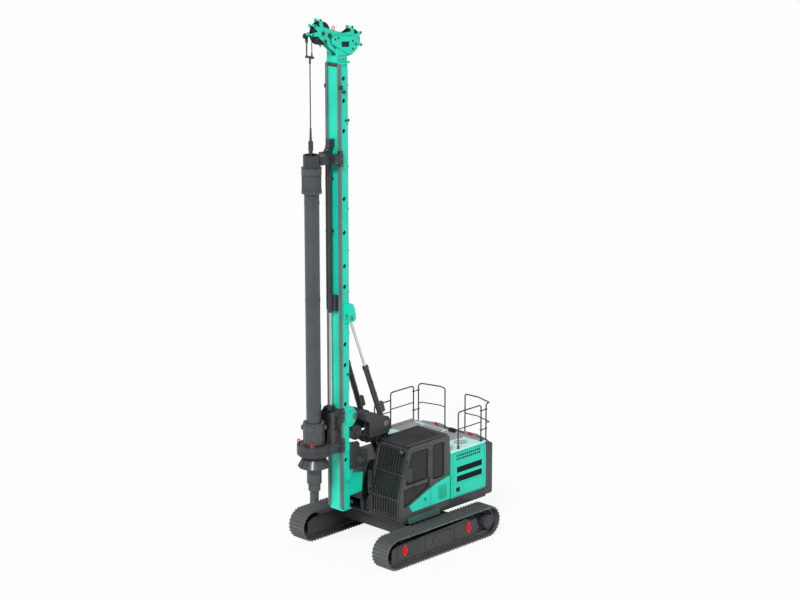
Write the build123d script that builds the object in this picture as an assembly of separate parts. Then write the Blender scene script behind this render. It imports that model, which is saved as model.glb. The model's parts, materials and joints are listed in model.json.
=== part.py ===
"""Rotary piling rig on tracks, in millimetres.

X points forward to the mast, Y to the driver's left, Z up. All sizes are laid out from
the slew axis at ground level, and each piece is then moved so that the middle of the
whole machine's box, at ground level, is the origin.
"""
import os
from math import cos, degrees, hypot, pi, radians, sin

from build123d import *

os.makedirs("parts", exist_ok=True)

# Tracks
track_length = 4000
track_height = 790
track_gauge = 2870
shoe_width = 500
shoe_count = 46
shoe_thickness = 22
grouser_height = 26
chain_height = 85
chain_width = 170
frame_width = 300
frame_height = 340
apron_low = 165
apron_nose = 505
apron_high = 632
apron_thickness = 20
cover_proud = 12
roller_radius = 78
roller_count = 7
carrier_radius = 55
carrier_spread = 900
idler_width = 100
axle_radius = 45
fork_thickness = 28
sprocket_width = 55
sprocket_teeth = 19
hub_radius = 180
seat_gap = 0.3

# Car body and slewing ring
beam_x = 500
beam_depth = 400
beam_bottom = 440
beam_top = 760
hub_drum_radius = 640
ring_radius = 600
ring_height = 95
slew_gap = 0.5

# Upper structure
half_width = 1200
tail_corner_x = -2255
tail_bulge = 180
tail_front_x = -1985
frame_front_x = 950
plate_thickness = 40
girder_height = 250
girder_inner = 140
girder_outer = 175
skirt_thickness = 90
skirt_height = 240
weight_bottom = 870
weight_top = 2180
house_front_x = -735
tank_top = 2050
house_top = 2300
panel_thickness = 40
rail_height = 930
rail_radius = 17
rail_inset = 48
board_height = 95
board_thickness = 12

# Cab
cab_rear_x = -680
cab_front_x = 1060
cab_inner_y = 200
cab_floor = 945
cab_roof = 2750
cab_wall = 55
door_rear_x = 0
door_gap = 6
glass_thickness = 8
guard_bars = 12
cab_knee = 1500
roof_bars = 18
roof_bar_width = 26

# Kinematic points in the X-Z plane
arm_foot = (200, 1620)
arm_head = (700, cab_roof - 10)
link_step = (-340, 120)
stay_foot = (750, cab_roof + 450)
mast_pivot = (1560, cab_roof + 770)
stay_head = (1790, cab_roof + 3250)
lift_foot = (780, 1200)
lift_head = (510, cab_roof - 440)
stay_foot_y = 342
stay_head_y = 268
stay_pin_radius = 45
ear_inner = 245
ear_outer = 416
pin_gap = 0.4

# Mast
mast_front = 2000
mast_depth = 255
mast_width = 400
mast_foot_z = 1230
mast_top_z = 12050
mast_wall = 12
guide_size = (70, 50)
guide_overhang = 35
side_hole_radius = 50

# Kelly, rotary head and crowd cylinder
kelly_x = 2720
kelly_radius = 175
kelly_bore = 140
kelly_bottom = 2080
kelly_top = 9540
kelly_foot_radius = 146
kelly_foot_bottom = 1905
stub_size = 150
stub_bottom = 1560
stub_pin_radius = 30
gearbox_radius = 405
gearbox_bottom = 2775
gearbox_top = 3050
sleeve_radius = 215
sleeve_bore = 192
carriage_bottom = 2730
carriage_top = 3800
crowd_x = 2118
crowd_y = -30
crowd_radius = 48
crowd_rod_radius = 34
crowd_foot = 6140
crowd_head = 10100
slide_gap = 0.4

# Winches and head sheaves
main_winch = (1450, cab_roof - 330)
main_winch_radius = 270
main_winch_half = 250
aux_winch = (1530, cab_roof + 350)
aux_winch_radius = 185
aux_winch_half = 215
ear_thickness = 30
ear_gap = 6
front_sheave = (2460, 12765)
rear_sheave = (1512, 12500)
sheave_radius = 268
sheave_half = 62
sheave_y = 40
rope_radius = 14

# Worked out from the sizes above
end_radius = track_height / 2
axle_x = track_length / 2 - end_radius
track_y = track_gauge / 2
shoe_path_radius = end_radius - grouser_height
chain_outer_radius = shoe_path_radius - shoe_thickness
chain_inner_radius = chain_outer_radius - chain_height
beam_end = axle_x - chain_inner_radius - 60
roller_pitch = 2 * (beam_end - 233) / (roller_count - 1)
deck_bottom = beam_top + ring_height + slew_gap
deck_top = deck_bottom + plate_thickness
girder_top = deck_top + girder_height
panel_bottom = deck_bottom + skirt_height
mast_rear = mast_front - mast_depth
tail_x = tail_corner_x - tail_bulge
nose_x = kelly_x + gearbox_radius
origin_x = (tail_x + nose_x) / 2


def box(x0, x1, y0, y1, z0, z1):
    return Pos((x0 + x1) / 2, (y0 + y1) / 2, (z0 + z1) / 2) * Box(abs(x1 - x0), abs(y1 - y0), abs(z1 - z0))


def rod_x(y, z, radius, x0, x1):
    return Pos((x0 + x1) / 2, y, z) * Rot(0, 90, 0) * Cylinder(radius, abs(x1 - x0))


def rod_y(x, z, radius, y0, y1):
    return Pos(x, (y0 + y1) / 2, z) * Rot(90, 0, 0) * Cylinder(radius, abs(y1 - y0))


def rod_z(x, y, radius, z0, z1):
    return Pos(x, y, (z0 + z1) / 2) * Cylinder(radius, abs(z1 - z0))


def rod_along(start, end, radius, low=0.0, high=None):
    """A round bar on the line from start to end, from low to high along it."""
    way = Vector(*end) - Vector(*start)
    reach = way.length if high is None else high
    plane = Plane(origin=Vector(*start) + way.normalized() * low, z_dir=way)
    return plane.location * Cylinder(radius, reach - low, align=(Align.CENTER, Align.CENTER, Align.MIN))


def side_face(points, radius=0.0, inset=0.0):
    """A face in the X-Z plane; radius is one value or one for each corner."""
    radii = list(radius) if isinstance(radius, (list, tuple)) else [radius] * len(points)
    if max(radii) > 0:
        wire = FilletPolyline(*points, radius=radii, close=True)
    else:
        wire = Polyline(*points, close=True)
    face = make_face(wire)
    if inset > 0:
        face = offset(face, -inset)
    return Plane.XZ * face


def side_plate(points, y0, y1, radius=0.0, inset=0.0):
    """An outline in X and Z, moved inwards if need be, extruded from y0 to y1."""
    return Pos(0, min(y0, y1), 0) * extrude(side_face(points, radius, inset), abs(y1 - y0), dir=(0, 1, 0))


def top_plate(points, z0, z1):
    return Pos(0, 0, z0) * extrude(make_face(Polyline(*points, close=True)), z1 - z0)


def fuse(pieces):
    whole = pieces[0]
    for piece in pieces[1:]:
        whole = whole + piece
    return whole


def polar(centre, radius, angle):
    return centre[0] + radius * cos(radians(angle)), centre[1] + radius * sin(radians(angle))


def save(name, shape):
    pieces = shape if isinstance(shape, (list, tuple)) else [shape]
    solids = [Pos(-origin_x, 0, 0) * solid for piece in pieces for solid in piece.solids()]
    export_step(solids[0] if len(solids) == 1 else Compound(solids), f"parts/{name}.step")


def path_point(along, out):
    """A point on the track's loop, at a distance along it and a height out of the shoe plates."""
    run = 2 * axle_x
    turn = pi * shoe_path_radius
    along %= 2 * (run + turn)
    reach = shoe_path_radius + out
    if along < run:
        return -axle_x + along, end_radius - reach
    if along < run + turn:
        return polar((axle_x, end_radius), reach, degrees((along - run) / shoe_path_radius) - 90)
    if along < 2 * run + turn:
        return axle_x - (along - run - turn), end_radius + reach
    angle = degrees((along - 2 * run - turn) / shoe_path_radius) + 90
    return polar((-axle_x, end_radius), reach, angle)


# Two grousers on each shoe: share of the shoe's pitch, share of the grouser's height
grouser_steps = [
    (0.10, 0), (0.14, 1), (0.22, 1), (0.26, 0),
    (0.58, 0), (0.62, 1), (0.70, 1), (0.74, 0),
]


def slot_face(radius):
    return SlotCenterToCenter(2 * axle_x, 2 * radius)


def track_loop(side):
    pitch = 2 * (2 * axle_x + pi * shoe_path_radius) / shoe_count
    points = [path_point((shoe + at) * pitch, out * grouser_height)
              for shoe in range(shoe_count) for at, out in grouser_steps]
    lift = Pos(0, end_radius)
    shoes = make_face(Polyline(*points, close=True)) - lift * slot_face(chain_outer_radius)
    chain = lift * slot_face(chain_outer_radius + 1) - lift * slot_face(chain_inner_radius)
    y = side * track_y
    loop = [Pos(0, y - width / 2, 0) * extrude(Plane.XZ * face, width, dir=(0, 1, 0))
            for face, width in ((shoes, shoe_width), (chain, chain_width))]
    return fuse(loop)


def track_frame(side):
    y = side * track_y
    half = frame_width / 2
    floor = end_radius - chain_inner_radius + 2 * roller_radius * 0.62
    roof = floor + frame_height
    beam = side_plate([(-beam_end, floor), (beam_end, floor), (beam_end + 40, floor + 90),
                       (beam_end - 60, roof), (-beam_end + 60, roof), (-beam_end - 40, floor + 90)],
                      y - half, y + half)
    pieces = [beam]
    for step in range(roller_count):
        x = (step - (roller_count - 1) / 2) * roller_pitch
        z = end_radius - chain_inner_radius + roller_radius + seat_gap
        reach = half - apron_thickness
        pieces.append(rod_y(x, z, roller_radius, y - reach, y + reach))
    for x in (-carrier_spread / 2, carrier_spread / 2):
        z = end_radius + chain_inner_radius - carrier_radius - seat_gap
        pieces.append(rod_y(x, z, carrier_radius, y - 70, y + 70))
        pieces.append(box(x - 30, x + 30, y - 60, y + 60, roof - 5, z))
    # Aprons in front of the rollers and the idler, on both sides
    rear = -axle_x + 345
    front = axle_x + 115
    apron = [(rear, apron_low), (front, apron_low), (front, apron_nose), (axle_x - 60, roof),
             (-axle_x + 780, apron_high), (rear, apron_nose)]
    for edge in (-1, 1):
        pieces.append(side_plate(apron, y + edge * (half - apron_thickness), y + edge * half))
    # Three covers stand proud of the outer apron
    for x0, x1 in ((rear + 80, -440), (-330, 580), (760, axle_x - 70)):
        pieces.append(box(x0, x1, y + side * half, y + side * (half + cover_proud), apron_low + 40,
                          roof - 20))
    # Fork that holds the idler's axle
    for edge in (-1, 1):
        inner = idler_width / 2 + fork_thickness
        pieces.append(side_plate([(beam_end - 80, end_radius - 90), (axle_x + 90, end_radius - 75),
                                  (axle_x + 90, end_radius + 75), (beam_end - 80, end_radius + 90)],
                                 y + edge * inner, y + edge * (inner + fork_thickness), 30))
    # Plate that carries the final drive, on the inner side
    inner = -side * 60
    pieces.append(side_plate([(-beam_end + 80, end_radius - 110), (-axle_x - 120, end_radius - 120),
                              (-axle_x - 120, end_radius + 120), (-beam_end + 80, end_radius + 110)],
                             y + inner, y + inner - side * 90, 40))
    return fuse(pieces)


def drive_sprocket(side):
    y = side * track_y
    tooth = 360 / sprocket_teeth
    outer = chain_inner_radius - 4
    root = outer - 32
    points = []
    for step in range(sprocket_teeth):
        for share, radius in ((0.08, root), (0.34, outer), (0.58, outer), (0.84, root)):
            points.append(polar((-axle_x, end_radius), radius, (step + share) * tooth))
    disc = side_plate(points, y - sprocket_width / 2, y + sprocket_width / 2)
    cover = rod_y(-axle_x, end_radius, hub_radius, y + side * sprocket_width / 2, y + side * 205)
    cap = fuse([rod_y(-axle_x, end_radius, hub_radius * 0.93, y + side * 205, y + side * 232),
                rod_y(-axle_x, end_radius, hub_radius * 0.36, y + side * 232, y + side * 242)])
    seat = rod_y(-axle_x, end_radius, 100, y - side * sprocket_width / 2, y - side * 60)
    return fuse([disc, cover, cap, seat])


def idler(side):
    y = side * track_y
    wheel = rod_y(axle_x, end_radius, chain_inner_radius - seat_gap, y - idler_width / 2, y + idler_width / 2)
    groove = rod_y(axle_x, end_radius, chain_inner_radius - 60, y - idler_width / 2, y - idler_width / 2 + 25)
    recess = rod_y(axle_x, end_radius, chain_inner_radius - 60, y + idler_width / 2 - 25, y + idler_width / 2)
    reach = idler_width / 2 + fork_thickness
    axle = rod_y(axle_x, end_radius, axle_radius, y - reach, y + reach)
    return wheel - groove - recess + axle


def tie_down_lugs():
    """Red lugs on the outer covers of both track frames: a pointed pad and a fin with a hole."""
    lugs = []
    face = track_y + frame_width / 2 + cover_proud
    for x in (-axle_x + 667, axle_x - 318):
        pad = side_plate([(x - 25, 268), (x + 25, 268), (x + 82, 375), (x + 82, 425), (x + 20, 545),
                          (x - 20, 545), (x - 82, 425), (x - 82, 375)], face, face + 14, 12)
        fin = box(x - 14, x + 14, face + 13, face + 66, 330, 490)
        fin = fillet(fin.edges().filter_by(Axis.X).group_by(Axis.Y)[-1], 40)
        lug = fuse([pad, fin]) - rod_x(face + 40, 410, 17, x - 20, x + 20)
        lugs += [lug, mirror(lug, Plane.XZ)]
    return lugs


def car_body():
    reach = track_y - frame_width / 2
    pieces = [rod_z(0, 0, hub_drum_radius, beam_bottom + 20, beam_top)]
    for x in (-beam_x, beam_x):
        front = x + beam_depth / 2
        rear = x - beam_depth / 2
        pieces.append(box(rear, front, -reach, reach, beam_bottom, beam_top - 20))
    pieces.append(box(-beam_x, beam_x, -360, 360, beam_bottom + 20, beam_top - 30))
    return fuse(pieces)


def slew_ring():
    outer = rod_z(0, 0, ring_radius, beam_top, beam_top + ring_height)
    return outer - rod_z(0, 0, ring_radius - 150, beam_top - 1, beam_top + ring_height + 1)


def upper_frame():
    """Deck with its side skirts and the cross boxes below the engine."""
    front = frame_front_x
    pieces = [box(tail_front_x, front, -half_width + 40, half_width - 40, deck_bottom, deck_top),
              box(cab_rear_x - 11, front, half_width - skirt_thickness, half_width, deck_bottom, cab_floor)]
    for edge in (-1, 1):
        skirt_front = cab_rear_x - 10 if edge > 0 else 820
        pieces.append(box(tail_front_x, skirt_front, edge * (half_width - skirt_thickness), edge * half_width,
                          deck_bottom, panel_bottom))
        for x in (-1600, -1100):
            pieces.append(box(x, x + 60, edge * girder_outer, edge * (half_width - 50), deck_top - 1,
                              panel_bottom - 40))
    return fuse(pieces)


def arm_tower():
    """Girders on the deck, the plates for the parallelogram's lower pins, the lift cylinder's lugs."""
    link_foot = (arm_foot[0] + link_step[0], arm_foot[1] + link_step[1])
    pieces = []
    for edge in (-1, 1):
        inner, outer = edge * girder_inner, edge * girder_outer
        pieces.append(box(tail_front_x, frame_front_x, inner, outer, deck_top, girder_top))
        pieces.append(side_plate([(link_foot[0] - 260, girder_top - 1), (arm_foot[0] + 330, girder_top - 1),
                                  (arm_foot[0] + 110, arm_foot[1] + 60),
                                  (link_foot[0] + 40, link_foot[1] + 120),
                                  (link_foot[0] - 110, link_foot[1] + 60)], inner, outer, [0, 0, 70, 60, 60]))
        pieces.append(side_plate([(680, deck_top), (880, deck_top), (850, lift_foot[1] + 60),
                                  (710, lift_foot[1] + 60)], edge * 55, edge * 85, [0, 0, 50, 50]))
    for x in (-1400, -900, 820):
        pieces.append(box(x, x + 30, -girder_outer, girder_outer, deck_top, girder_top))
    for point in (arm_foot, link_foot):
        pieces.append(rod_y(point[0], point[1], 38, -185, 185))
    pieces.append(box(link_foot[0] - 200, link_foot[0] - 160, -141, 141, girder_top, girder_top + 160))
    pieces.append(rod_y(lift_foot[0], lift_foot[1], 30, -85, 85))
    return fuse(pieces)


def tail_outline(inset=0.0):
    """Corner, bulge and corner of the tail, as points of an arc."""
    half = half_width - inset
    return [(tail_corner_x + inset, -half), (tail_x + inset, 0), (tail_corner_x + inset, half)]


def tail_solid(x_front, z0, z1, inset=0.0):
    right, middle, left = tail_outline(inset)
    outline = [Line((x_front, right[1]), right), ThreePointArc(right, middle, left),
               Line(left, (x_front, left[1])), Line((x_front, left[1]), (x_front, right[1]))]
    solid = Pos(0, 0, z0) * extrude(make_face(Wire(outline)), z1 - z0)
    corners = solid.edges().filter_by(Axis.Z).group_by(Axis.X)[0]
    return fillet(corners, 90)


def counterweight():
    block = tail_solid(tail_front_x, weight_bottom, weight_top)
    for face, radius in ((-1, 30), (0, 70)):
        rim = block.faces().sort_by(Axis.Z)[face].outer_wire().edges()
        block = fillet([edge for edge in rim if edge.center().X < tail_front_x - 30], radius)
    return block


def engine_block():
    return box(tail_front_x + 280, house_front_x - 220, -450, 350, girder_top, 1700)


def house_panel(side):
    """Side wall of the engine house with its two large and two rows of small openings."""
    y0 = half_width - panel_thickness
    wall = side_plate([(tail_front_x, panel_bottom), (house_front_x, panel_bottom),
                       (house_front_x, house_top - 40), (tail_front_x, house_top - 40)],
                      y0, half_width, [60, 10, 10, 90])
    for z in (1468, 1702):
        wall = wall - box(-1850, -943, y0 - 5, half_width + 5, z, z + 150)
    slot_count = 12
    slot_pitch = 73
    for row in (2030, 2112):
        for step in range(slot_count):
            x = -1780 + step * slot_pitch
            wall = wall - box(x, x + 52, y0 - 5, half_width + 5, row, row + 55)
    return wall if side > 0 else mirror(wall, Plane.XZ)


def engine_hood():
    top = box(tail_front_x, house_front_x, -half_width, half_width, house_top - 40, house_top)
    top = fillet(top.edges().filter_by(Axis.X).group_by(Axis.Z)[-1], 22)
    # A seam parts the front cover from the rest
    top = top - box(-960, -946, -half_width - 5, half_width + 5, house_top - 9, house_top + 1)
    cap = rod_z(-1390, 880, 150, house_top - 1, house_top + 26)
    front = box(house_front_x - 40, house_front_x, cab_inner_y + 20, half_width - panel_thickness,
                panel_bottom, house_top - 40)
    right = box(house_front_x - 40, house_front_x, -half_width + panel_thickness, -190,
                panel_bottom, house_top - 40)
    return fuse([top, cap, front, right])


def right_tank():
    """Tank and locker box on the right, beside the mast's kinematics, open at its bottom."""
    outline = [(house_front_x + 5, panel_bottom), (820, panel_bottom), (820, 1500), (600, tank_top),
               (house_front_x + 5, tank_top)]
    tank = side_plate(outline, -half_width, -300, [0, 0, 120, 120, 0])
    wall = 15
    hollow = side_plate([(house_front_x + 5 + wall, panel_bottom - 5), (820 - wall, panel_bottom - 5),
                         (820 - wall, 1500), (600 - wall, tank_top - wall),
                         (house_front_x + 5 + wall, tank_top - wall)],
                        -half_width + wall, -300 - wall, [0, 0, 105, 105, 0])
    return tank - hollow


def side_step():
    """Walkway step below the cab: a tread with a deep outer face, open at its bottom."""
    low, high, wall = 862, 1000, 12
    outer = half_width + 90
    step = box(-250, 780, half_width, outer, low, high)
    return step - box(-250 + wall, 780 - wall, half_width - 1, outer - wall, low - 1, high - wall)


def bent_rail(points, radius, bend):
    """A tube on straight runs joined by tangent arcs."""
    path = FilletPolyline(*points, radius=bend)
    start = path @ 0
    profile = Plane(origin=start, z_dir=path % 0) * Circle(radius)
    return sweep(profile, path=path)


def rail_panel(points_low, points_high, bend=70):
    """Two posts and a top rail as one hoop, with a mid rail; the points run around the deck's edge."""
    foot_z = points_low
    top_z = points_high[0][2]
    hoop = [(points_high[0][0], points_high[0][1], foot_z)] + points_high
    hoop.append((points_high[-1][0], points_high[-1][1], foot_z))
    pieces = [bent_rail(hoop, rail_radius, bend)]
    middle = (foot_z + top_z) / 2 + 30
    for start, end in zip(points_high[:-1], points_high[1:]):
        pieces.append(rod_along((start[0], start[1], middle), (end[0], end[1], middle), rail_radius * 0.8))
    return fuse(pieces)


# Where the tail's rails end beside the middle: side, distance from the middle plane
tail_rail_ends = [(-1, 440), (1, 245)]


def tail_rail_line(side, end_y):
    return [(-2150, side * (half_width - rail_inset)), (-2290, side * 640), (-2250, side * end_y)]


def guard_rails():
    top = house_top + rail_height
    rails = []
    for side, end_y in tail_rail_ends:
        y = side * (half_width - rail_inset)
        tail = [(-2030, y, top)] + [(point[0], point[1], top) for point in tail_rail_line(side, end_y)]
        hoops = [rail_panel(house_top, [(-1030, y, top), (-1850, y, top)]), rail_panel(weight_top, tail, 60)]
        hoops += [rod_x(y, top - drop, rail_radius * 0.8, -2030, -1850) for drop in (145, 640)]
        rails.append(fuse(hoops))
    # A lower hoop stands on the tank, on the right only
    y = -half_width + rail_inset
    low_top = top - 200
    low = [bent_rail([(-459, y, tank_top), (-459, y, low_top), (-1030, y, low_top)], rail_radius, 70)]
    for z in (low_top - 295, low_top - 510):
        low.append(rod_along((-459, y, z), (-1030, y, z), rail_radius * 0.8))
    rails[0] = fuse([rails[0]] + low)
    return rails


def toe_boards():
    """Boards at the feet of the rails: along the right side, and round both halves of the tail."""
    y = -half_width + rail_inset + rail_radius + seat_gap
    boards = [box(-1850, -1030, y, y + board_thickness, house_top, house_top + board_height)]
    near = rail_radius + 3
    far = near + board_thickness
    for side, end_y in tail_rail_ends:
        start, bend, end = tail_rail_line(side, end_y)
        start = (start[0] + 5, side * (half_width - 72))
        outline = [(start[0] + near, start[1]), (bend[0] + near, bend[1]), (end[0] + near, end[1]),
                   (end[0] + far, end[1]), (bend[0] + far, bend[1]), (start[0] + far, start[1])]
        boards.append(top_plate(outline, weight_top, weight_top + board_height))
    return boards


def eye_bolt(x, y, z, ring, wire, turn=0):
    """Lifting eye: a short foot and a ring that stands on it, turned about its own axis."""
    foot = rod_z(x, y, wire * 1.5, z, z + 20)
    return foot + Pos(x, y, z + 20 + ring) * Rot(0, 0, turn) * Rot(90, 0, 0) * Torus(ring, wire)


def tail_eyes():
    return [eye_bolt(x, y, weight_top, 42, 18, turn=90) for x, y in ((-2200, -690), (-2190, 470))]


def cab_outline(inset=0.0):
    """Side view of the cab: corner points and the radius of each corner."""
    i = inset
    points = [(cab_rear_x + i, cab_floor + i), (cab_front_x - i, cab_floor + i),
              (cab_front_x - i, cab_knee), (760 - i, cab_roof - 110 - i * 0.4), (660 - i, cab_roof - i),
              (cab_rear_x + i, cab_roof - i)]
    return points, [60, 60, 300, 60, 60, 90]


# Openings of the cab in X and Z: driver's rear window, right window, door's upper and lower windows
window_top = cab_roof - 130
rear_side_window = [(-480, cab_floor + 810), (-95, cab_floor + 810), (-95, window_top), (-480, window_top)]
right_window = [(-560, cab_floor + 705), (820, cab_floor + 705), (660, window_top), (-560, window_top)]
door_upper_window = [(85, cab_floor + 885), (850, cab_floor + 885), (650, window_top - 30),
                     (85, window_top - 30)]
door_lower_window = [(85, 1590), (690, 1345), (905, 1270), (905, 1725), (85, 1725)]
rear_window_low = cab_floor + 1055
rear_window_high = cab_roof - 150


def cab_frame():
    points, radii = cab_outline()
    shell = side_plate(points, cab_inner_y, half_width, radii)
    inner_points, inner_radii = cab_outline(cab_wall)
    shell = shell - side_plate(inner_points, cab_inner_y + cab_wall, half_width - cab_wall, inner_radii)
    shell = shell - side_plate(door_outline(-door_gap), half_width - cab_wall - 5, half_width + 5, 40)
    window = side_plate(rear_side_window, half_width - cab_wall - 5, half_width + 5, 50)
    right = side_plate(right_window, cab_inner_y - 5, cab_inner_y + cab_wall + 5, 60)
    front = box(700, cab_front_x + 10, cab_inner_y + 90, half_width - 90, 1080, cab_roof - 150)
    rear = box(cab_rear_x - 10, cab_rear_x + cab_wall + 10, cab_inner_y + 120, half_width - 120,
               rear_window_low, rear_window_high)
    return fuse([shell - window - right - front - rear] + hinge_sets()[0])


def door_outline(inset=0.0):
    i = inset
    low = cab_floor + 65 + i
    return [(door_rear_x + i, low), (cab_front_x - 70 - i, low), (cab_front_x - 70 - i, cab_knee),
            (725 - i, cab_roof - 190 - i), (690 - i, cab_roof - 100 - i),
            (door_rear_x + i, cab_roof - 100 - i)]


def cab_door():
    y0 = half_width - cab_wall
    door = side_plate(door_outline(), y0, half_width, 40)
    upper = side_plate(door_upper_window, y0 - 5, half_width + 5, 50)
    lower = side_plate(door_lower_window, y0 - 5, half_width + 5, 35)
    handle = rod_z(45, half_width + 30, 12, 1640, 1800)
    feet = [rod_y(45, z, 10, half_width - 1, half_width + 30) for z in (1650, 1790)]
    return fuse([door - upper - lower, handle] + feet + hinge_sets()[1])


def hinge_sets():
    """Hinge heights, and the pieces of one hinge: pin on the cab's side, knuckle on the door's."""
    pins = []
    knuckles = []
    x = door_rear_x - 3
    y = half_width + 14
    for z in (1900, cab_roof - 310):
        pins.append(rod_z(x, y, 7, z - 65, z + 65))
        for low in (z - 65, z + 36):
            pins.append(rod_z(x, y, 14, low, low + 29))
            pins.append(box(x - 60, x, half_width - 1, half_width + 14, low, low + 29))
        knuckle = fuse([rod_z(x, y, 14, z - 35, z + 35),
                        box(x, x + 60, half_width + 2, half_width + 14, z - 35, z + 35),
                        box(x + 30, x + 60, half_width - 1, half_width + 3, z - 35, z + 35)])
        knuckles.append(knuckle - rod_z(x, y, 7 + pin_gap, z - 40, z + 40))
    return pins, knuckles


# Slanted panel along the cab's side, split at the door's rear edge
skirt_line = [(-675, 1118), (634, 1108), (738, 1266), (236, 1470), (-183, 1618), (-675, 1722)]


def slice_skirt(x0, x1):
    panel = side_plate(skirt_line, half_width, half_width + 16, [20, 20, 20, 300, 300, 20])
    return panel & box(x0, x1, half_width - 1, half_width + 20, 1000, 1800)


def cab_skirt():
    return slice_skirt(-700, door_rear_x - 17)


def door_skirt():
    return slice_skirt(door_rear_x + 6, 800)


def front_guard():
    """Bars in front of the windscreen, each bent once, with cross rails."""
    low_x = cab_front_x + 45
    line = [(low_x, 985), (low_x, cab_knee), (800, cab_roof - 60)]
    back = [(x - 34, z) for x, z in line]
    outline = line + [(line[-1][0] - 34, line[-1][1] + 6)] + back[1::-1]
    pieces = []
    first = cab_inner_y + 15
    step = (half_width - cab_inner_y - 30 - 14) / (guard_bars - 1)
    for index in range(guard_bars):
        y = first + index * step
        pieces.append(side_plate(outline, y, y + 14))
    slope = (800 - low_x) / (cab_roof - 60 - cab_knee)
    for z in (1000, cab_knee - 10, (cab_knee + cab_roof) / 2 - 45, cab_roof - 90):
        x = low_x - 17 + slope * max(z - cab_knee, 0)
        pieces.append(box(x - 12, x + 12, cab_inner_y + 5, half_width - 5, z - 14, z + 14))
    for y in (cab_inner_y + 60, half_width - 80):
        pieces.append(box(cab_front_x, low_x - 20, y, y + 20, 990, 1010))
        pieces.append(box(cab_front_x, low_x - 20, y, y + 20, cab_knee - 20, cab_knee))
    return fuse(pieces)


def roof_guard():
    z0 = cab_roof
    pieces = []
    for y in (cab_inner_y + 20, half_width - 60):
        pieces.append(box(-600, 780, y, y + 40, z0 + 12, z0 + 46))
        for x in (-560, 560):
            pieces.append(box(x, x + 60, y, y + 40, z0, z0 + 14))
    step = (1380 - roof_bar_width) / (roof_bars - 1)
    for index in range(roof_bars):
        x = -600 + index * step
        pieces.append(box(x, x + roof_bar_width, cab_inner_y + 20, half_width - 20, z0 + 20, z0 + 40))
    return fuse(pieces)


def mirror_left():
    """Mirror on an arm from the cab's front pillar, ahead of the door's swing."""
    z = cab_roof - 340
    foot = (795, half_width + 10, z)
    head = side_plate([(925, z - 400), (960, z - 410), (975, z - 60), (940, z - 50)], half_width + 75,
                      half_width + 290, 12)
    pad = box(775, 815, half_width, half_width + 12, z - 30, z + 30)
    knee = (930, half_width + 150, z - 20)
    return fuse([pad, rod_along(foot, knee, 13), rod_along(knee, (950, half_width + 180, z - 110), 13), head])


def mirror_right():
    """Tall mirror ahead of the guard's right edge."""
    y = cab_inner_y + 22
    x = cab_front_x + 45
    head = fillet(box(x + 22, x + 46, y - 2, y + 118, 1640, 2080).edges().filter_by(Axis.X), 25)
    foot = box(x, x + 30, y - 2, y + 12, cab_knee - 32, cab_knee - 8)
    return fuse([head, foot, rod_z(x + 22, y + 5, 12, cab_knee - 32, 1720)])


def operator_seat():
    base = box(-330, 150, 460, 940, cab_floor + cab_wall, 1350)
    cushion = fillet(box(-330, 190, 440, 960, 1350, 1470).edges(), 30)
    back = side_plate([(-360, 1440), (-240, 1440), (-330, 2130), (-430, 2130)], 450, 950, 30)
    console = box(-100, 330, 300, 400, cab_floor + cab_wall, 1560)
    return [fuse([base, cushion, back]), console]


def lift_arm():
    """Lower arm of the parallelogram: two plates joined by tubes."""
    pieces = []
    way = (arm_head[0] - arm_foot[0], arm_head[1] - arm_foot[1])
    length = hypot(*way)
    side = (-way[1] / length * 75, way[0] / length * 75)
    outline = [(arm_foot[0] + side[0], arm_foot[1] + side[1]), (arm_foot[0] - side[0], arm_foot[1] - side[1]),
               (arm_head[0] - side[0], arm_head[1] - side[1]), (arm_head[0] + side[0], arm_head[1] + side[1])]
    lug = [(arm_foot[0] + way[0] * 0.5, arm_foot[1] + way[1] * 0.5), (lift_head[0] + 60, lift_head[1] - 40),
           (lift_head[0] + 60, lift_head[1] + 50), (arm_foot[0] + way[0] * 0.72, arm_foot[1] + way[1] * 0.72)]
    for edge in (-1, 1):
        pieces.append(side_plate(outline, edge * 90, edge * 130))
        pieces.append(side_plate(lug, edge * 90, edge * 130))
        for point in (arm_foot, arm_head):
            pieces.append(rod_y(point[0], point[1], 78, edge * 90, edge * 130))
    pieces.append(rod_y(arm_foot[0], arm_foot[1], 70, -95, 95))
    pieces.append(rod_y(lift_head[0], lift_head[1], 30, -130, 130))
    tie = (arm_foot[0] + way[0] * 0.33, arm_foot[1] + way[1] * 0.33)
    pieces.append(rod_y(tie[0], tie[1], 40, -95, 95))
    arm = fuse(pieces)
    arm = arm - rod_y(arm_foot[0], arm_foot[1], 38 + pin_gap, -140, 140)
    return arm - rod_y(arm_head[0], arm_head[1], 40 + pin_gap, -140, 140)


def tie_link():
    foot = (arm_foot[0] + link_step[0], arm_foot[1] + link_step[1])
    head = (arm_head[0] + link_step[0], arm_head[1] + link_step[1])
    way = (head[0] - foot[0], head[1] - foot[1])
    length = hypot(*way)
    side = (-way[1] / length * 45, way[0] / length * 45)
    outline = [(foot[0] + side[0], foot[1] + side[1]), (foot[0] - side[0], foot[1] - side[1]),
               (head[0] - side[0], head[1] - side[1]), (head[0] + side[0], head[1] + side[1])]
    link = fuse([side_plate(outline, -40, 40), rod_y(foot[0], foot[1], 65, -130, 130),
                 rod_y(head[0], head[1], 65, -42, 42)])
    link = link - rod_y(foot[0], foot[1], 38 + pin_gap, -140, 140)
    return link - rod_y(head[0], head[1], 40 + pin_gap, -60, 60)


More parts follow.
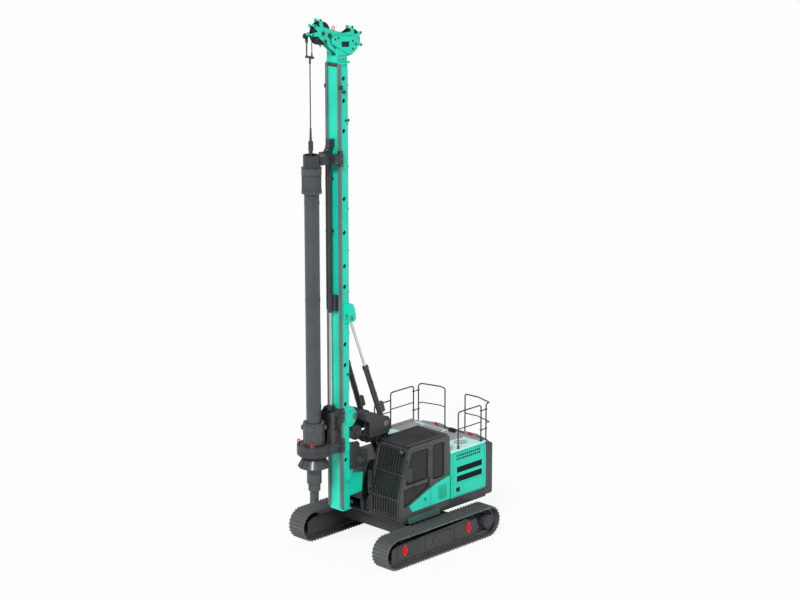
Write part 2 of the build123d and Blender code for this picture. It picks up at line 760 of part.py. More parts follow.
def mast_cradle():
    """Frame between the parallelogram and the mast, which also carries the feet of the stays."""
    link_head = (arm_head[0] + link_step[0], arm_head[1] + link_step[1])
    head_x, head_z = arm_head
    shelf = stay_foot[1] - 250
    beam_low = mast_pivot[1] - 120
    beam_high = mast_pivot[1] + 60
    # Webs between the arms' pins, drawn out forwards below the shelf
    web = [(link_head[0] - 90, link_head[1] - 60), (head_x - 60, head_z - 90), (head_x + 80, head_z - 70),
           (1060, head_z - 40), (1215, head_z + 80), (1240, shelf + 8), (head_x + 110, shelf + 50),
           (head_x + 110, shelf + 310), (link_head[0] - 20, stay_foot[1]),
           (link_head[0] - 90, link_head[1] + 60)]
    ear = [(620, shelf), (1290, shelf), (1290, shelf + 380), (1400, beam_low), (1400, beam_high),
           (1240, beam_high), (640, shelf + 400), (590, stay_foot[1])]
    pieces = []
    for edge in (-1, 1):
        plate = side_plate(web, edge * 50, edge * 80, [50, 60, 40, 60, 60, 0, 0, 0, 0, 50])
        pieces.append(plate - rod_y(1030, head_z + 95, 45, edge * 40, edge * 90))
        for face in (ear_inner, ear_outer):
            pieces.append(side_plate(ear, edge * face, edge * (face + 16), [40, 40, 20, 0, 40, 40, 60, 60]))
        pieces.append(box(640, 1250, edge * ear_inner, edge * (ear_outer + 16), shelf, shelf + 16))
        pieces.append(rod_y(stay_foot[0], stay_foot[1], 110, edge * (ear_outer + 15),
                            edge * (ear_outer + 30)))
    pieces.append(rod_y(stay_foot[0], stay_foot[1], stay_pin_radius, -440, 440))
    pieces.append(rod_y(head_x, head_z, 40, -130, 130))
    pieces.append(rod_y(link_head[0], link_head[1], 40, -80, 80))
    # Cross tubes and the nose that reaches the mast's pivot
    pieces.append(box(700, 810, -ear_inner - 1, ear_inner + 1, shelf + 60, shelf + 160))
    pieces.append(box(1180, 1240, -ear_inner - 1, ear_inner + 1, shelf, shelf + 50))
    pieces.append(box(1230, 1400, -431, 431, beam_low, beam_high - 20))
    pivot_x, pivot_z = mast_pivot
    pieces.append(side_plate([(1380, beam_low + 10), (pivot_x, pivot_z - 95), (pivot_x, pivot_z + 95),
                              (1380, beam_high - 20)], -150, 150))
    pieces.append(rod_y(pivot_x, pivot_z, 95, -150, 150))
    return fuse(pieces) - rod_y(pivot_x, pivot_z, 50 + pin_gap, -160, 160)


def cylinder_barrel(foot, head, eye_radius, pin_radius, width, radius, bore, rod_radius, share):
    """Eye at the foot, a barrel with a bore and a gland at its mouth, over a share of the way to the head."""
    reach = share * (Vector(*head) - Vector(*foot)).length
    eye = rod_y(foot[0], foot[2], eye_radius, foot[1] - width / 2, foot[1] + width / 2)
    body = rod_along(foot, head, radius, eye_radius * 0.6, reach)
    collar = rod_along(foot, head, radius + 8, reach - 60, reach)
    solid = eye + body + collar
    solid = solid - rod_along(foot, head, bore, eye_radius + 25, reach - 45)
    solid = solid - rod_along(foot, head, rod_radius + pin_gap, reach - 60, reach + 10)
    return solid - rod_y(foot[0], foot[2], pin_radius + pin_gap, foot[1] - width, foot[1] + width)


def cylinder_rod(foot, head, eye_radius, bore, width, rod_radius, piston_radius, share):
    """Rod with its piston and the open eye at its head, from a share of the way on."""
    length = (Vector(*head) - Vector(*foot)).length
    start = share * length
    rod = rod_along(foot, head, rod_radius, start, length - eye_radius * 0.5)
    piston = rod_along(foot, head, piston_radius, start, start + 70)
    eye = rod_y(head[0], head[2], eye_radius, head[1] - width / 2, head[1] + width / 2)
    return rod + piston + eye - rod_y(head[0], head[2], bore, head[1] - width, head[1] + width)


def stay_points(side):
    return ((stay_foot[0], side * stay_foot_y, stay_foot[1]),
            (stay_head[0], side * stay_head_y, stay_head[1]))


def stay_barrel(side):
    """Barrel of one stay cylinder, with the valve block on its rear face."""
    foot, head = stay_points(side)
    barrel = cylinder_barrel(foot, head, 88, stay_pin_radius, 130, 68, 52, 34, 0.542)
    way = Vector(*head) - Vector(*foot)
    rear = Vector(-way.Z, 0, way.X).normalized()
    low, high = (Vector(*foot) + way.normalized() * along for along in (270, 530))
    outline = [low + rear * 60, high + rear * 60, high + rear * 165, low + rear * 150]
    y = (low.Y + high.Y) / 2
    block = side_plate([(corner.X, corner.Z) for corner in outline], y - 42, y + 42, [0, 0, 15, 15])
    return barrel + block


def mast_box():
    """Hollow mast with its holed sides, foot, flanges and the brackets for pivot and stays."""
    half = mast_width / 2
    tube = box(mast_rear, mast_front, -half, half, mast_foot_z, mast_top_z)
    inner = half - mast_wall
    tube = tube - box(mast_rear + mast_wall, mast_front - mast_wall, -inner, inner,
                      mast_foot_z + 20, mast_top_z - 20)
    middle = (mast_rear + mast_front) / 2
    # Heights of the round holes through both side walls
    hole_heights = [2494, 3878, 4843, 5352, 6749, 7245, 8044, 8852, 10450, 11153, 11669]
    for z in hole_heights:
        tube = tube - rod_y(middle, z, side_hole_radius, -half - 5, half + 5)
    pieces = [tube]
    for z0, z1, rear, grow in ((mast_foot_z, mast_foot_z + 30, 25, 25), (1940, 2000, 0, 18),
                               (mast_top_z - 40, mast_top_z, 45, 45)):
        pieces.append(box(mast_rear - rear, mast_front - 12, -half - grow, half + grow, z0, z1))
    for edge in (-1, 1):
        low, high = mast_pivot[1] - 230, mast_pivot[1] + 240
        cheek = side_plate([(mast_rear + 1, low), (mast_rear - 120, low),
                            (mast_pivot[0] - 90, mast_pivot[1] - 60),
                            (mast_pivot[0] - 90, mast_pivot[1] + 60),
                            (mast_rear - 120, high), (mast_rear + 1, high + 40)],
                           edge * 160, edge * 198, [0, 60, 60, 60, 60, 0])
        pieces.append(cheek)
        z = stay_head[1]
        inner_ear = [(1690, z - 120), (1900, z - 120), (1900, z + 160), (1840, z + 330), (1730, z + 330),
                     (1640, z + 150), (1640, z - 50)]
        pieces.append(side_plate(inner_ear, edge * (half - 1), edge * 228))
        outer_ear = [(1690, z - 100), (1880, z - 100), (1880, z + 120), (1690, z + 160), (1640, z + 80),
                     (1640, z - 50)]
        pieces.append(side_plate(outer_ear, edge * 310, edge * 336, 30))
        roof = [(1690, z + 125), (1890, z + 85), (1900, z + 160), (1840, z + 330), (1730, z + 330),
                (1650, z + 160)]
        pieces.append(side_plate(roof, edge * 227, edge * 336))
        pieces.append(rod_y(stay_head[0], stay_head[1], 30, edge * 227, edge * 345))
    pieces.append(rod_y(mast_pivot[0], mast_pivot[1], 50, -215, 215))
    return fuse(pieces)


def guide_bars():
    width, depth = guide_size
    half = mast_width / 2 + guide_overhang
    bars = []
    for edge in (-1, 1):
        bars.append(box(mast_front, mast_front + 40, edge * (half - width), edge * half, 1300,
                        mast_top_z - 40))
        bars.append(box(mast_front - depth + 40, mast_front + 1, edge * (mast_width / 2), edge * half,
                        1300, mast_top_z - 40))
    return [bars[0] + bars[1], bars[2] + bars[3]]


def winch_mounts():
    """Ears behind the mast that hold both winches, on one backing plate."""
    plate = mast_rear - 15
    pieces = [box(plate, mast_rear, -160, 160, main_winch[1] - 880, aux_winch[1] + 170)]
    for edge in (-1, 1):
        for (x, z), half, reach in ((main_winch, main_winch_half, 110), (aux_winch, aux_winch_half, 85)):
            inner = half + ear_gap
            outer = inner + ear_thickness
            pieces.append(side_plate([(mast_rear - 2, z - reach), (x, z - reach), (x, z + reach),
                                      (mast_rear - 2, z + reach)], edge * inner, edge * outer))
            pieces.append(rod_y(x, z, reach, edge * inner, edge * (half + 60)))
            pieces.append(box(plate, mast_rear, edge * 150, edge * outer, z - reach, z + reach))
            pieces.append(rod_y(x, z, 40, edge * (half - 60), edge * (inner + 1)))
        # The main winch's ears run on upwards to a point below the auxiliary winch
        inner = main_winch_half + ear_gap
        low, high = main_winch[1] + 100, aux_winch[1] - 190
        pieces.append(side_plate([(mast_rear - 2, low), (main_winch[0] + 5, low),
                                  (main_winch[0] + 45, high - 60), (main_winch[0] + 110, high),
                                  (mast_rear - 2, high)],
                                 edge * inner, edge * (inner + ear_thickness), [0, 0, 60, 40, 0]))
        pieces.append(box(plate, mast_rear, edge * 150, edge * (inner + ear_thickness), low, high))
    return fuse(pieces)


def winch_box():
    """Box below the main winch, behind the mast's foot, open at its bottom."""
    low, high = main_winch[1] - 860, main_winch[1] - 360
    rear = mast_rear - 15 - seat_gap
    outline = [(rear, low), (1330, low + 20), (1300, high), (rear, high)]
    wall = 12
    cavity = [(rear - wall, low - 5), (1330 + wall, low - 5), (1300 + wall, high - wall),
              (rear - wall, high - wall)]
    shell = side_plate(outline, -200, 200, [0, 60, 30, 0])
    return shell - side_plate(cavity, -200 + wall, 200 - wall, [0, 0, 20, 0])


def winch_drum(centre, flange, half):
    x, z = centre
    barrel = rod_y(x, z, flange * 0.72, -half, half)
    sides = [rod_y(x, z, flange, edge * (half - 25), edge * half) for edge in (-1, 1)]
    drum = fuse([barrel] + sides)
    for edge in (-1, 1):
        drum = drum - rod_y(x, z, 40 + pin_gap, edge * (half + 5), edge * (half - 70))
    return drum


# Arms of the cheeks that hold keeper bars round each sheave's rim: angles from the front
keeper_angles = [(front_sheave, (0, 40, 80)), (rear_sheave, (90, 150, 205))]
keeper_reach = sheave_radius + 40
side_plate_window = [(1665, 12370), (1930, 12400), (1930, 12535), (1665, 12505)]


def keeper_arm(hub, angle, low, high):
    """Tapered arm in a cheek's plane, with a round end."""
    root = [polar(hub, 70, angle + turn) for turn in (-75, 75)]
    tip = polar(hub, keeper_reach, angle)
    corners = [polar(tip, 32, angle + turn) for turn in (90, -90)]
    return side_plate(root + corners, low, high) + rod_y(tip[0], tip[1], 34, low, high)


def mast_head():
    """Neck, two cheeks that hold the sheaves, and a windowed plate on either side of the neck."""
    outer = sheave_half + 10
    neck = box(mast_rear - 20, mast_front + 40, -170, 170, mast_top_z, 12480)
    pieces = [neck - box(1180, 2800, sheave_y - outer, sheave_y + outer, 12200, 13200)]
    outline = [(mast_rear - 20, 12150), (mast_front + 30, 12250), (2420, 12560), (2570, 12680), (2580, 12840),
               (2420, 12900), (2100, 12800), (1800, 12700), (1560, 12710), (1310, 12580), (1300, 12370),
               (1540, 12180)]
    for low, high in ((sheave_y + outer, sheave_y + outer + 28), (sheave_y - outer - 28, sheave_y - outer)):
        pieces.append(side_plate(outline, low, high))
        for hub, angles in keeper_angles:
            pieces += [keeper_arm(hub, angle, low, high) for angle in angles]
    for hub, angles in keeper_angles:
        pieces.append(rod_y(hub[0], hub[1], 45, sheave_y - outer - 40, sheave_y + outer + 40))
        for angle in angles:
            x, z = polar(hub, keeper_reach, angle)
            pieces.append(rod_y(x, z, 16, sheave_y - outer - 28, sheave_y + outer + 28))
    side = [(2230, 12610), (2106, 12685), (1842, 12645), (1500, 12600), (1370, 12480), (1420, 12300),
            (1560, 12214), (1703, 12218), (2196, 12492)]
    for edge in (-1, 1):
        plate = side_plate(side, edge * 169, edge * 196, [20, 30, 60, 60, 60, 60, 40, 40, 20])
        pieces.append(plate - side_plate(side_plate_window, edge * 160, edge * 200, 25))
    # Arm on the right that holds the rope's fixed end
    pieces.append(box(2380, 2735, sheave_y - outer - 120, sheave_y - outer - 20, 12700, 12760))
    return fuse(pieces)


def sheave(hub):
    x, z = hub
    wheel = rod_y(x, z, sheave_radius, sheave_y - sheave_half, sheave_y + sheave_half)
    groove = rod_y(x, z, sheave_radius + 5, sheave_y - sheave_half + 22, sheave_y + sheave_half - 22)
    groove = groove - rod_y(x, z, sheave_radius - 35, sheave_y - sheave_half, sheave_y + sheave_half)
    return wheel - groove - rod_y(x, z, 45 + pin_gap, sheave_y - 200, sheave_y + 200)


def hoist_rope():
    """Two falls to the spreader bar and the single rope down to the swivel."""
    bar_z = 12235
    anchor_y = -130
    fall_y = sheave_y
    fall_x = front_sheave[0] + sheave_radius - 18
    bar = rod_y(fall_x, bar_z, 26, anchor_y - 35, fall_y + 60)
    live = rod_z(fall_x, fall_y, rope_radius * 0.8, bar_z, front_sheave[1])
    dead = rod_z(fall_x, anchor_y, rope_radius * 1.4, bar_z, 12560)
    socket = rod_z(fall_x, anchor_y, 34, 12560, 12700)
    main = rod_z(kelly_x, -15, rope_radius, 10470, bar_z)
    return fuse([bar, live, dead, socket, main])


def rope_swivel():
    body = rod_z(kelly_x, -15, 57, 10080, 10300)
    head = rod_z(kelly_x, -15, 26, 10295, 10470)
    neck = rod_z(kelly_x, -15, 45, 9698.3, 10085)
    return fuse([neck, body, head])


def kelly_guide():
    """Cup round the kelly's top, with the arm and the shoes that run on the mast's guides."""
    cup = rod_z(kelly_x, 0, 192, 9698.5, 9985) - rod_z(kelly_x, 0, 160, 9690, 9995)
    arm = box(mast_front + 44, kelly_x - 150, -150, 150, 9730, 9930)
    arm = arm - rod_z(kelly_x, 0, 160, 9690, 9995)
    arm = arm - box(mast_front, crowd_x + 75, crowd_y - 170, crowd_y + 75, 9700, 9990)
    bridge = box(crowd_x + 60, crowd_x + 110, -270, 270, 9720, 9940)
    pieces = [cup, arm, bridge]
    pieces += guide_shoes(9640, 10000)
    for edge in (-1, 1):
        pieces.append(box(mast_front + 40 + slide_gap, crowd_x + 110, edge * 238, edge * 270, 9720, 9940))
    return fuse(pieces)


def guide_shoes(z0, z1):
    """C-shaped shoes round both guide bars."""
    half = mast_width / 2 + guide_overhang
    shoes = []
    for edge in (-1, 1):
        web = box(mast_front - 40, mast_front + 62, edge * (half + slide_gap), edge * (half + 32), z0, z1)
        pad = box(mast_front + 40 + slide_gap, mast_front + 62, edge * (half - 60), edge * (half + 10),
                  z0, z1)
        lip = box(mast_front - 40, mast_front - 10 - slide_gap, edge * (mast_width / 2 + 6),
                  edge * (half + 10), z0, z1)
        shoes.append(fuse([web, pad, lip]))
    return shoes


def crowd_barrel():
    """Long cylinder on the mast's front, with its pipe and clips."""
    body = rod_z(crowd_x, crowd_y, crowd_radius, crowd_foot, crowd_head)
    gland = rod_z(crowd_x, crowd_y, crowd_radius + 10, crowd_foot, crowd_foot + 90)
    top = box(mast_front, crowd_x + 60, crowd_y - 60, crowd_y + 60, crowd_head - 10, crowd_head + 160)
    solid = fuse([body, gland, top])
    solid = solid - rod_z(crowd_x, crowd_y, crowd_rod_radius + 4, crowd_foot + 50, crowd_head - 20)
    solid = solid - rod_z(crowd_x, crowd_y, crowd_rod_radius + pin_gap, crowd_foot - 5, crowd_foot + 60)
    pipe = rod_z(crowd_x - 20, crowd_y - 105, 38, crowd_foot + 60, crowd_head)
    pieces = [solid, pipe]
    for z in (6440, 8050, 9300):
        clip = box(crowd_x - 40, crowd_x + 5, crowd_y - 110, crowd_y, z, z + 60)
        clip = clip - rod_z(crowd_x, crowd_y, crowd_rod_radius + 4, z - 1, z + 61)
        pieces.append(clip)
        pieces.append(box(mast_front, crowd_x - 40, crowd_y - 60, crowd_y + 20, z, z + 60))
    stop = box(mast_front, crowd_x - 20, crowd_y + 40, crowd_y + 150, 6180, 6560)
    pieces.append(stop)
    return fuse(pieces)


def crowd_rod():
    foot = carriage_top + 60
    rod = rod_z(crowd_x, crowd_y, crowd_rod_radius, foot, crowd_foot + 900)
    return rod


def rotary_carriage():
    """Sliding frame of the rotary head."""
    back = box(mast_front + 62, mast_front + 95, -240, 240, carriage_bottom, carriage_top)
    pieces = [back]
    for z0 in (carriage_bottom, carriage_top - 330):
        pieces += guide_shoes(z0, z0 + 330)
    for edge in (-1, 1):
        pieces.append(side_plate([(mast_front + 62, carriage_top), (mast_front + 160, carriage_top),
                                  (2480, 3320), (2480, gearbox_bottom + 10),
                                  (mast_front + 62, carriage_bottom)],
                                 edge * 205, edge * 240, [0, 60, 80, 20, 0]))
    pieces.append(box(mast_front + 62, crowd_x + 60, crowd_y - 70, crowd_y + 70,
                      carriage_top - 60, carriage_top + 60))
    return fuse(pieces)


def rotary_gearbox():
    disc = rod_z(kelly_x, 0, gearbox_radius, gearbox_bottom, gearbox_top)
    disc = chamfer(disc.edges().sort_by(Axis.Z)[0], 40)
    block = box(mast_front + 95, kelly_x, -204, 204, gearbox_bottom + 20, gearbox_top - 10)
    wings = box(2330, kelly_x, -385, 385, gearbox_bottom + 40, gearbox_top)
    housing = fuse([disc, block, wings])
    for edge in (-1, 1):
        housing = housing - box(2280, 2480.3, edge * 204.7, edge * 240.3, gearbox_bottom - 5,
                                gearbox_top + 10)
    return housing - rod_z(kelly_x, 0, sleeve_radius + pin_gap, gearbox_bottom - 5, gearbox_top + 5)


def drive_motors():
    motors = []
    for edge in (-1, 1):
        x = 2420
        y = edge * 328
        body = rod_z(x, y, 78, gearbox_top + 40, gearbox_top + 330)
        foot = rod_z(x, y, 44, gearbox_top, gearbox_top + 45)
        cap = rod_z(x, y, 60, gearbox_top + 325, gearbox_top + 430)
        motors.append(fuse([foot, body, cap]))
    return motors


def lifting_eyes():
    return [eye_bolt(kelly_x + dx, dy, gearbox_top, 34, 14) for dx, dy in ((193, -322), (290, 242))]


def drive_sleeve():
    """Rotating sleeve through the gearbox, its ribbed drum above and the flared skirt below."""
    tube = rod_z(kelly_x, 0, sleeve_radius, 2520, 3590)
    drum = rod_z(kelly_x, 0, 250, gearbox_top + 12, 3590)
    ring = rod_z(kelly_x, 0, 262, 3370, 3540)
    skirt = Pos(kelly_x, 0, 2500 + 122) * Cone(372, 225, 244)
    pieces = [tube, drum, ring, skirt]
    for index in range(12):
        angle = index * 30
        x, y = polar((kelly_x, 0), 250, angle)
        pieces.append(rod_z(x, y, 12, gearbox_top + 20, 3370))
    return fuse(pieces) - rod_z(kelly_x, 0, sleeve_bore, 2490, 3600)


def kelly_bar():
    tube = rod_z(kelly_x, 0, kelly_radius, kelly_bottom, kelly_top)
    collar = fuse([rod_z(kelly_x, 0, 237, 9100, 9170), rod_z(kelly_x, 0, 212, 9160, 9550),
                   rod_z(kelly_x, 0, 235, 9540, 9698)])
    pieces = [tube, collar]
    for index in range(18):
        x, y = polar((kelly_x, 0), 214, index * 20)
        pieces.append(rod_z(x, y, 14, 9165, 9545))
    for index in range(3):
        angle = 45 + index * 120
        rib = box(kelly_radius - 10, kelly_radius + 10, -22, 22, 2200, 9105)
        pieces.append(Pos(kelly_x, 0, 0) * Rot(0, 0, angle) * rib)
    bar = fuse(pieces) - rod_z(kelly_x, 0, kelly_bore, kelly_bottom - 10, 9690)
    half = stub_size / 2
    stage = rod_z(kelly_x, 0, kelly_foot_radius, kelly_foot_bottom, kelly_bottom + 60)
    neck = Pos(kelly_x, 0, kelly_foot_bottom - 25) * Cone(half * 1.2, kelly_foot_radius, 50)
    stub = box(kelly_x - half, kelly_x + half, -half, half, stub_bottom, kelly_foot_bottom - 45)
    knob = rod_x(0, stub_bottom + 210, 24, kelly_x - half - 32, kelly_x - half + 1)
    bar = fuse([bar, stage, neck, stub, knob])
    return bar - rod_y(kelly_x, stub_bottom + 110, stub_pin_radius, -half - 5, half + 5)


def pane(outline, y, radius):
    """A pane seated in an opening of a side wall."""
    half = glass_thickness / 2
    return side_plate(outline, y - half, y + half, radius, seat_gap)


def glass_panes():
    """Fixed panes of the cab, each seated in its opening."""
    rear = box(cab_rear_x + 24, cab_rear_x + 32, cab_inner_y + 120 + seat_gap, half_width - 120 - seat_gap,
               rear_window_low + seat_gap, rear_window_high - seat_gap)
    return [pane(rear_side_window, half_width - cab_wall / 2, 50),
            pane(right_window, cab_inner_y + cab_wall / 2, 60), rear]


def door_glass():
    y = half_width - cab_wall / 2
    return [pane(door_upper_window, y, 50), pane(door_lower_window, y, 35)]


for side, word in ((1, "left"), (-1, "right")):
    save(f"track_{word}", track_loop(side))
    save(f"track_frame_{word}", track_frame(side))
    save(f"stay_barrel_{word}", stay_barrel(side))
    save(f"stay_rod_{word}", cylinder_rod(*stay_points(side), 72, 44, 50, 34, 51, 0.14))

save("drive_sprockets", [drive_sprocket(1), drive_sprocket(-1)])
save("idlers", [idler(1), idler(-1)])
save("house_panels", [house_panel(1), house_panel(-1)])
save("tie_down_lugs", tie_down_lugs())
save("car_body", car_body())
save("slew_ring", slew_ring())
save("upper_frame", upper_frame())
save("arm_tower", arm_tower())
save("counterweight", counterweight())
save("engine_block", engine_block())
save("engine_hood", engine_hood())
save("right_tank", right_tank())
save("side_step", side_step())
save("guard_rails", guard_rails())
save("toe_boards", toe_boards())
save("tail_eyes", tail_eyes())
save("mirror_left", mirror_left())
save("mirror_right", mirror_right())
save("cab_frame", cab_frame())
save("cab_glass", glass_panes())
save("cab_door", cab_door())
save("door_glass", door_glass())
save("cab_guard", [front_guard(), roof_guard()])
save("cab_skirt", cab_skirt())
save("door_skirt", door_skirt())
save("operator_seat", operator_seat())
save("lift_arm", lift_arm())
save("tie_link", tie_link())
save("mast_cradle", mast_cradle())
lift_start = (lift_foot[0], 0, lift_foot[1])
lift_end = (lift_head[0], 0, lift_head[1])
save("lift_barrel", cylinder_barrel(lift_start, lift_end, 55, 30, 80, 48, 36, 24, 0.69))
save("lift_rod", cylinder_rod(lift_start, lift_end, 50, 36, 70, 24, 35, 0.28))
save("mast_box", mast_box())
save("guide_bars", guide_bars())
save("winch_mounts", winch_mounts())
save("winch_box", winch_box())
save("mast_head", mast_head())
save("main_drum", winch_drum(main_winch, main_winch_radius, main_winch_half))
save("aux_drum", winch_drum(aux_winch, aux_winch_radius, aux_winch_half))
save("front_sheave", sheave(front_sheave))
save("rear_sheave", sheave(rear_sheave))
save("hoist_rope", hoist_rope())
save("rope_swivel", rope_swivel())
save("kelly_guide", kelly_guide())
save("crowd_barrel", crowd_barrel())
save("crowd_rod", crowd_rod())
save("rotary_carriage", rotary_carriage())
save("rotary_gearbox", rotary_gearbox())
save("drive_motors", drive_motors())
save("lifting_eyes", lifting_eyes())
save("drive_sleeve", drive_sleeve())
save("kelly_bar", kelly_bar())
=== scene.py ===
import json
import math

import bmesh
import bpy
from mathutils import Matrix, Vector

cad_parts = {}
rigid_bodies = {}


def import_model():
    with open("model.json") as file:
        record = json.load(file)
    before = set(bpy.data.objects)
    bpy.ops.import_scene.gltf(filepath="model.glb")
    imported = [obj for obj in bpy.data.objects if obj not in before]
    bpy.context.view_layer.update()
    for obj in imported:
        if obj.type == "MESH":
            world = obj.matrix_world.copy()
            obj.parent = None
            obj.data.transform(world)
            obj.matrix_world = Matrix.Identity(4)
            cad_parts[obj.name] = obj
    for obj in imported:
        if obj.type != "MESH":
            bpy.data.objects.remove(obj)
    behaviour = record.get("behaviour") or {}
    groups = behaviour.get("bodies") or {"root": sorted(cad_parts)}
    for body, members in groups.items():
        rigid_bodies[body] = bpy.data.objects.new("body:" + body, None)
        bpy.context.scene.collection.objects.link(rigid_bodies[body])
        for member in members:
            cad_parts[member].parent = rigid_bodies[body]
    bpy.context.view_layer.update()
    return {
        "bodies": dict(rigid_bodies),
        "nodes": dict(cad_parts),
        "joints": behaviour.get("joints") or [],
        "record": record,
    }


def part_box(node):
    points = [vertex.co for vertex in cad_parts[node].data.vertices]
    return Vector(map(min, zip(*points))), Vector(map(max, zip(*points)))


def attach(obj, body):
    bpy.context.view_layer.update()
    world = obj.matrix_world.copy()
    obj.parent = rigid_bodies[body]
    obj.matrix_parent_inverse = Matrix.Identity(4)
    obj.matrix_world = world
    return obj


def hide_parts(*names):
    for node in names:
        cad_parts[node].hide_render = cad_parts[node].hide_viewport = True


print("loading the rig")
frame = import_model()
nodes = frame["nodes"]

# The slewing axis stands this far behind the middle of the machine's box
ringLow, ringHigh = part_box("slew_ring")
slewX = (ringLow.x + ringHigh.x) / 2


def at(x, y, z):
    # A point measured from the slewing axis at ground level
    return Vector((x + slewX, y, z))


# Shader tools: an expression on values adds its own Math nodes

class Value:
    def __init__(self, shader, socket):
        self.shader = shader
        self.socket = socket

    def __add__(self, other):
        return self.shader.maths("ADD", self, other)

    def __radd__(self, other):
        return self.shader.maths("ADD", other, self)

    def __sub__(self, other):
        return self.shader.maths("SUBTRACT", self, other)

    def __rsub__(self, other):
        return self.shader.maths("SUBTRACT", other, self)

    def __mul__(self, other):
        return self.shader.maths("MULTIPLY", self, other)

    def __rmul__(self, other):
        return self.shader.maths("MULTIPLY", other, self)

    def above(self, low, high):
        # 0 below low, 1 above high, smooth between them
        inputs = {"Value": self, "From Min": low, "From Max": high}
        return self.shader.add("ShaderNodeMapRange", {"interpolation_type": "SMOOTHSTEP"}, inputs)["Result"]


class Shader:
    def __init__(self, name):
        self.material = bpy.data.materials.new(name)
        self.material.use_nodes = True
        self.tree = self.material.node_tree
        self.tree.nodes.clear()
        self.output = self.tree.nodes.new("ShaderNodeOutputMaterial")
        self.place = self.add("ShaderNodeTexCoord")["Object"]

    def add(self, kind, settings=None, inputs=None):
        node = self.tree.nodes.new(kind)
        for key, value in (settings or {}).items():
            if key == "stops":
                self.setStops(node.color_ramp, value)
            else:
                setattr(node, key, value)
        sockets = [s for s in node.inputs if s.enabled]
        pairs = inputs.items() if isinstance(inputs, dict) else enumerate(inputs or [])
        for key, value in pairs:
            socket = sockets[key] if isinstance(key, int) else next(s for s in sockets if s.name == key)
            if isinstance(value, Value):
                self.tree.links.new(value.socket, socket)
            elif value is not None:
                socket.default_value = value
        return {s.name: Value(self, s) for s in node.outputs if s.enabled}

    def setStops(self, ramp, stops):
        while len(ramp.elements) > 1:
            ramp.elements.remove(ramp.elements[-1])
        ramp.elements[0].position = stops[0][0]
        ramp.elements[0].color = stops[0][1]
        for position, colour in stops[1:]:
            ramp.elements.new(position).color = colour

    def maths(self, operation, *inputs):
        return self.add("ShaderNodeMath", {"operation": operation}, inputs)["Value"]

    def noise(self, scale, detail=3.0, roughness=0.55, stretch=None):
        place = self.place
        if stretch:
            place = self.add("ShaderNodeVectorMath", {"operation": "MULTIPLY"}, [place, stretch])["Vector"]
        inputs = {"Vector": place, "Scale": scale, "Detail": detail, "Roughness": roughness}
        return self.add("ShaderNodeTexNoise", {}, inputs)["Fac"]

    def blend(self, factor, first, second):
        settings = {"data_type": "RGBA", "clamp_factor": True}
        return self.add("ShaderNodeMix", settings, {"Factor": factor, "A": first, "B": second})["Result"]

    def edges(self, radius):
        # Rounded normal and a mask that is 1 on the edges
        rounded = self.add("ShaderNodeBevel", {"samples": 4}, {"Radius": radius})["Normal"]
        flat = self.add("ShaderNodeNewGeometry")["Normal"]
        near = self.add("ShaderNodeVectorMath", {"operation": "DOT_PRODUCT"}, [rounded, flat])["Value"]
        return rounded, (1 - near).above(0.04, 0.25)

    def bump(self, height, distance, strength=1.0, normal=None):
        inputs = {"Height": height, "Distance": distance, "Strength": strength}
        if normal:
            inputs["Normal"] = normal
        return self.add("ShaderNodeBump", {}, inputs)["Normal"]

    def surface(self, inputs):
        shader = self.add("ShaderNodeBsdfPrincipled", {}, inputs)["BSDF"]
        self.tree.links.new(shader.socket, self.output.inputs["Surface"])
        return self.material


def rgb(red, green, blue):
    # Screen colour, 0 to 255, as Blender's linear colour
    def linear(part):
        part = part / 255
        return part / 12.92 if part <= 0.04045 else ((part + 0.055) / 1.055) ** 2.4
    return linear(red), linear(green), linear(blue), 1.0


# Finishes

palette = {
    "green": rgb(24, 224, 192),
    "greenDeep": rgb(16, 208, 176),
    "dark": rgb(56, 59, 61),
    "darkDeep": rgb(44, 47, 49),
    "mint": rgb(205, 250, 244),
    "step": rgb(66, 100, 92),
    "shoe": rgb(140, 143, 145),
    "shoeDeep": rgb(84, 86, 88),
    "red": rgb(226, 30, 44),
    "chrome": rgb(226, 229, 232),
    "rubber": rgb(24, 25, 26),
    "zinc": rgb(150, 152, 154),
    "glass": rgb(46, 49, 49),
}


def paint(name, colour, deep, roughness=0.38, coat=0.15, wear=0.5, radius=0.004):
    s = Shader(name)
    cloud = s.noise(1.3, 4.0)
    speck = s.noise(55.0, 2.0, 0.7)
    rounded, edge = s.edges(radius)
    base = s.blend(cloud.above(0.35, 0.8), colour, deep)
    scuff = speck.above(0.5, 0.7) * edge * wear
    base = s.blend(scuff, base, palette["zinc"])
    rough = roughness + cloud * 0.1 + scuff * 0.2
    normal = s.bump(s.noise(120.0, 2.0), 0.0003, 0.4, rounded)
    return s.surface({"Base Color": base, "Roughness": rough, "Coat Weight": coat, "Coat Roughness": 0.2,
                      "Specular IOR Level": 0.35, "Normal": normal})


def bareSteel(name, colour, deep, roughness, metallic=0.9, grain=(1.0, 1.0, 14.0), edgeWearAndGlint=0.5):
    s = Shader(name)
    streak = s.noise(24.0, 3.0, 0.6, grain)
    cloud = s.noise(3.0, 4.0)
    rounded, edge = s.edges(0.003)
    base = s.blend(streak.above(0.3, 0.7), colour, deep)
    # Edges blended toward pale zinc: painted highlight along every edge, partly bare worn metal
    base = s.blend(edge * edgeWearAndGlint, base, palette["zinc"])
    rough = roughness + cloud * 0.15
    normal = s.bump(streak, 0.0003, 0.4, rounded)
    return s.surface({"Base Color": base, "Roughness": rough, "Metallic": metallic + cloud * 0.05,
                      "Normal": normal})


def rubber(name, colour, roughness=0.7):
    s = Shader(name)
    cloud = s.noise(9.0, 4.0)
    base = s.blend(cloud.above(0.4, 0.8) * 0.5, colour, palette["dark"])
    normal = s.bump(s.noise(300.0, 2.0), 0.0005, 0.5)
    return s.surface({"Base Color": base, "Roughness": roughness + cloud * 0.1, "Normal": normal})


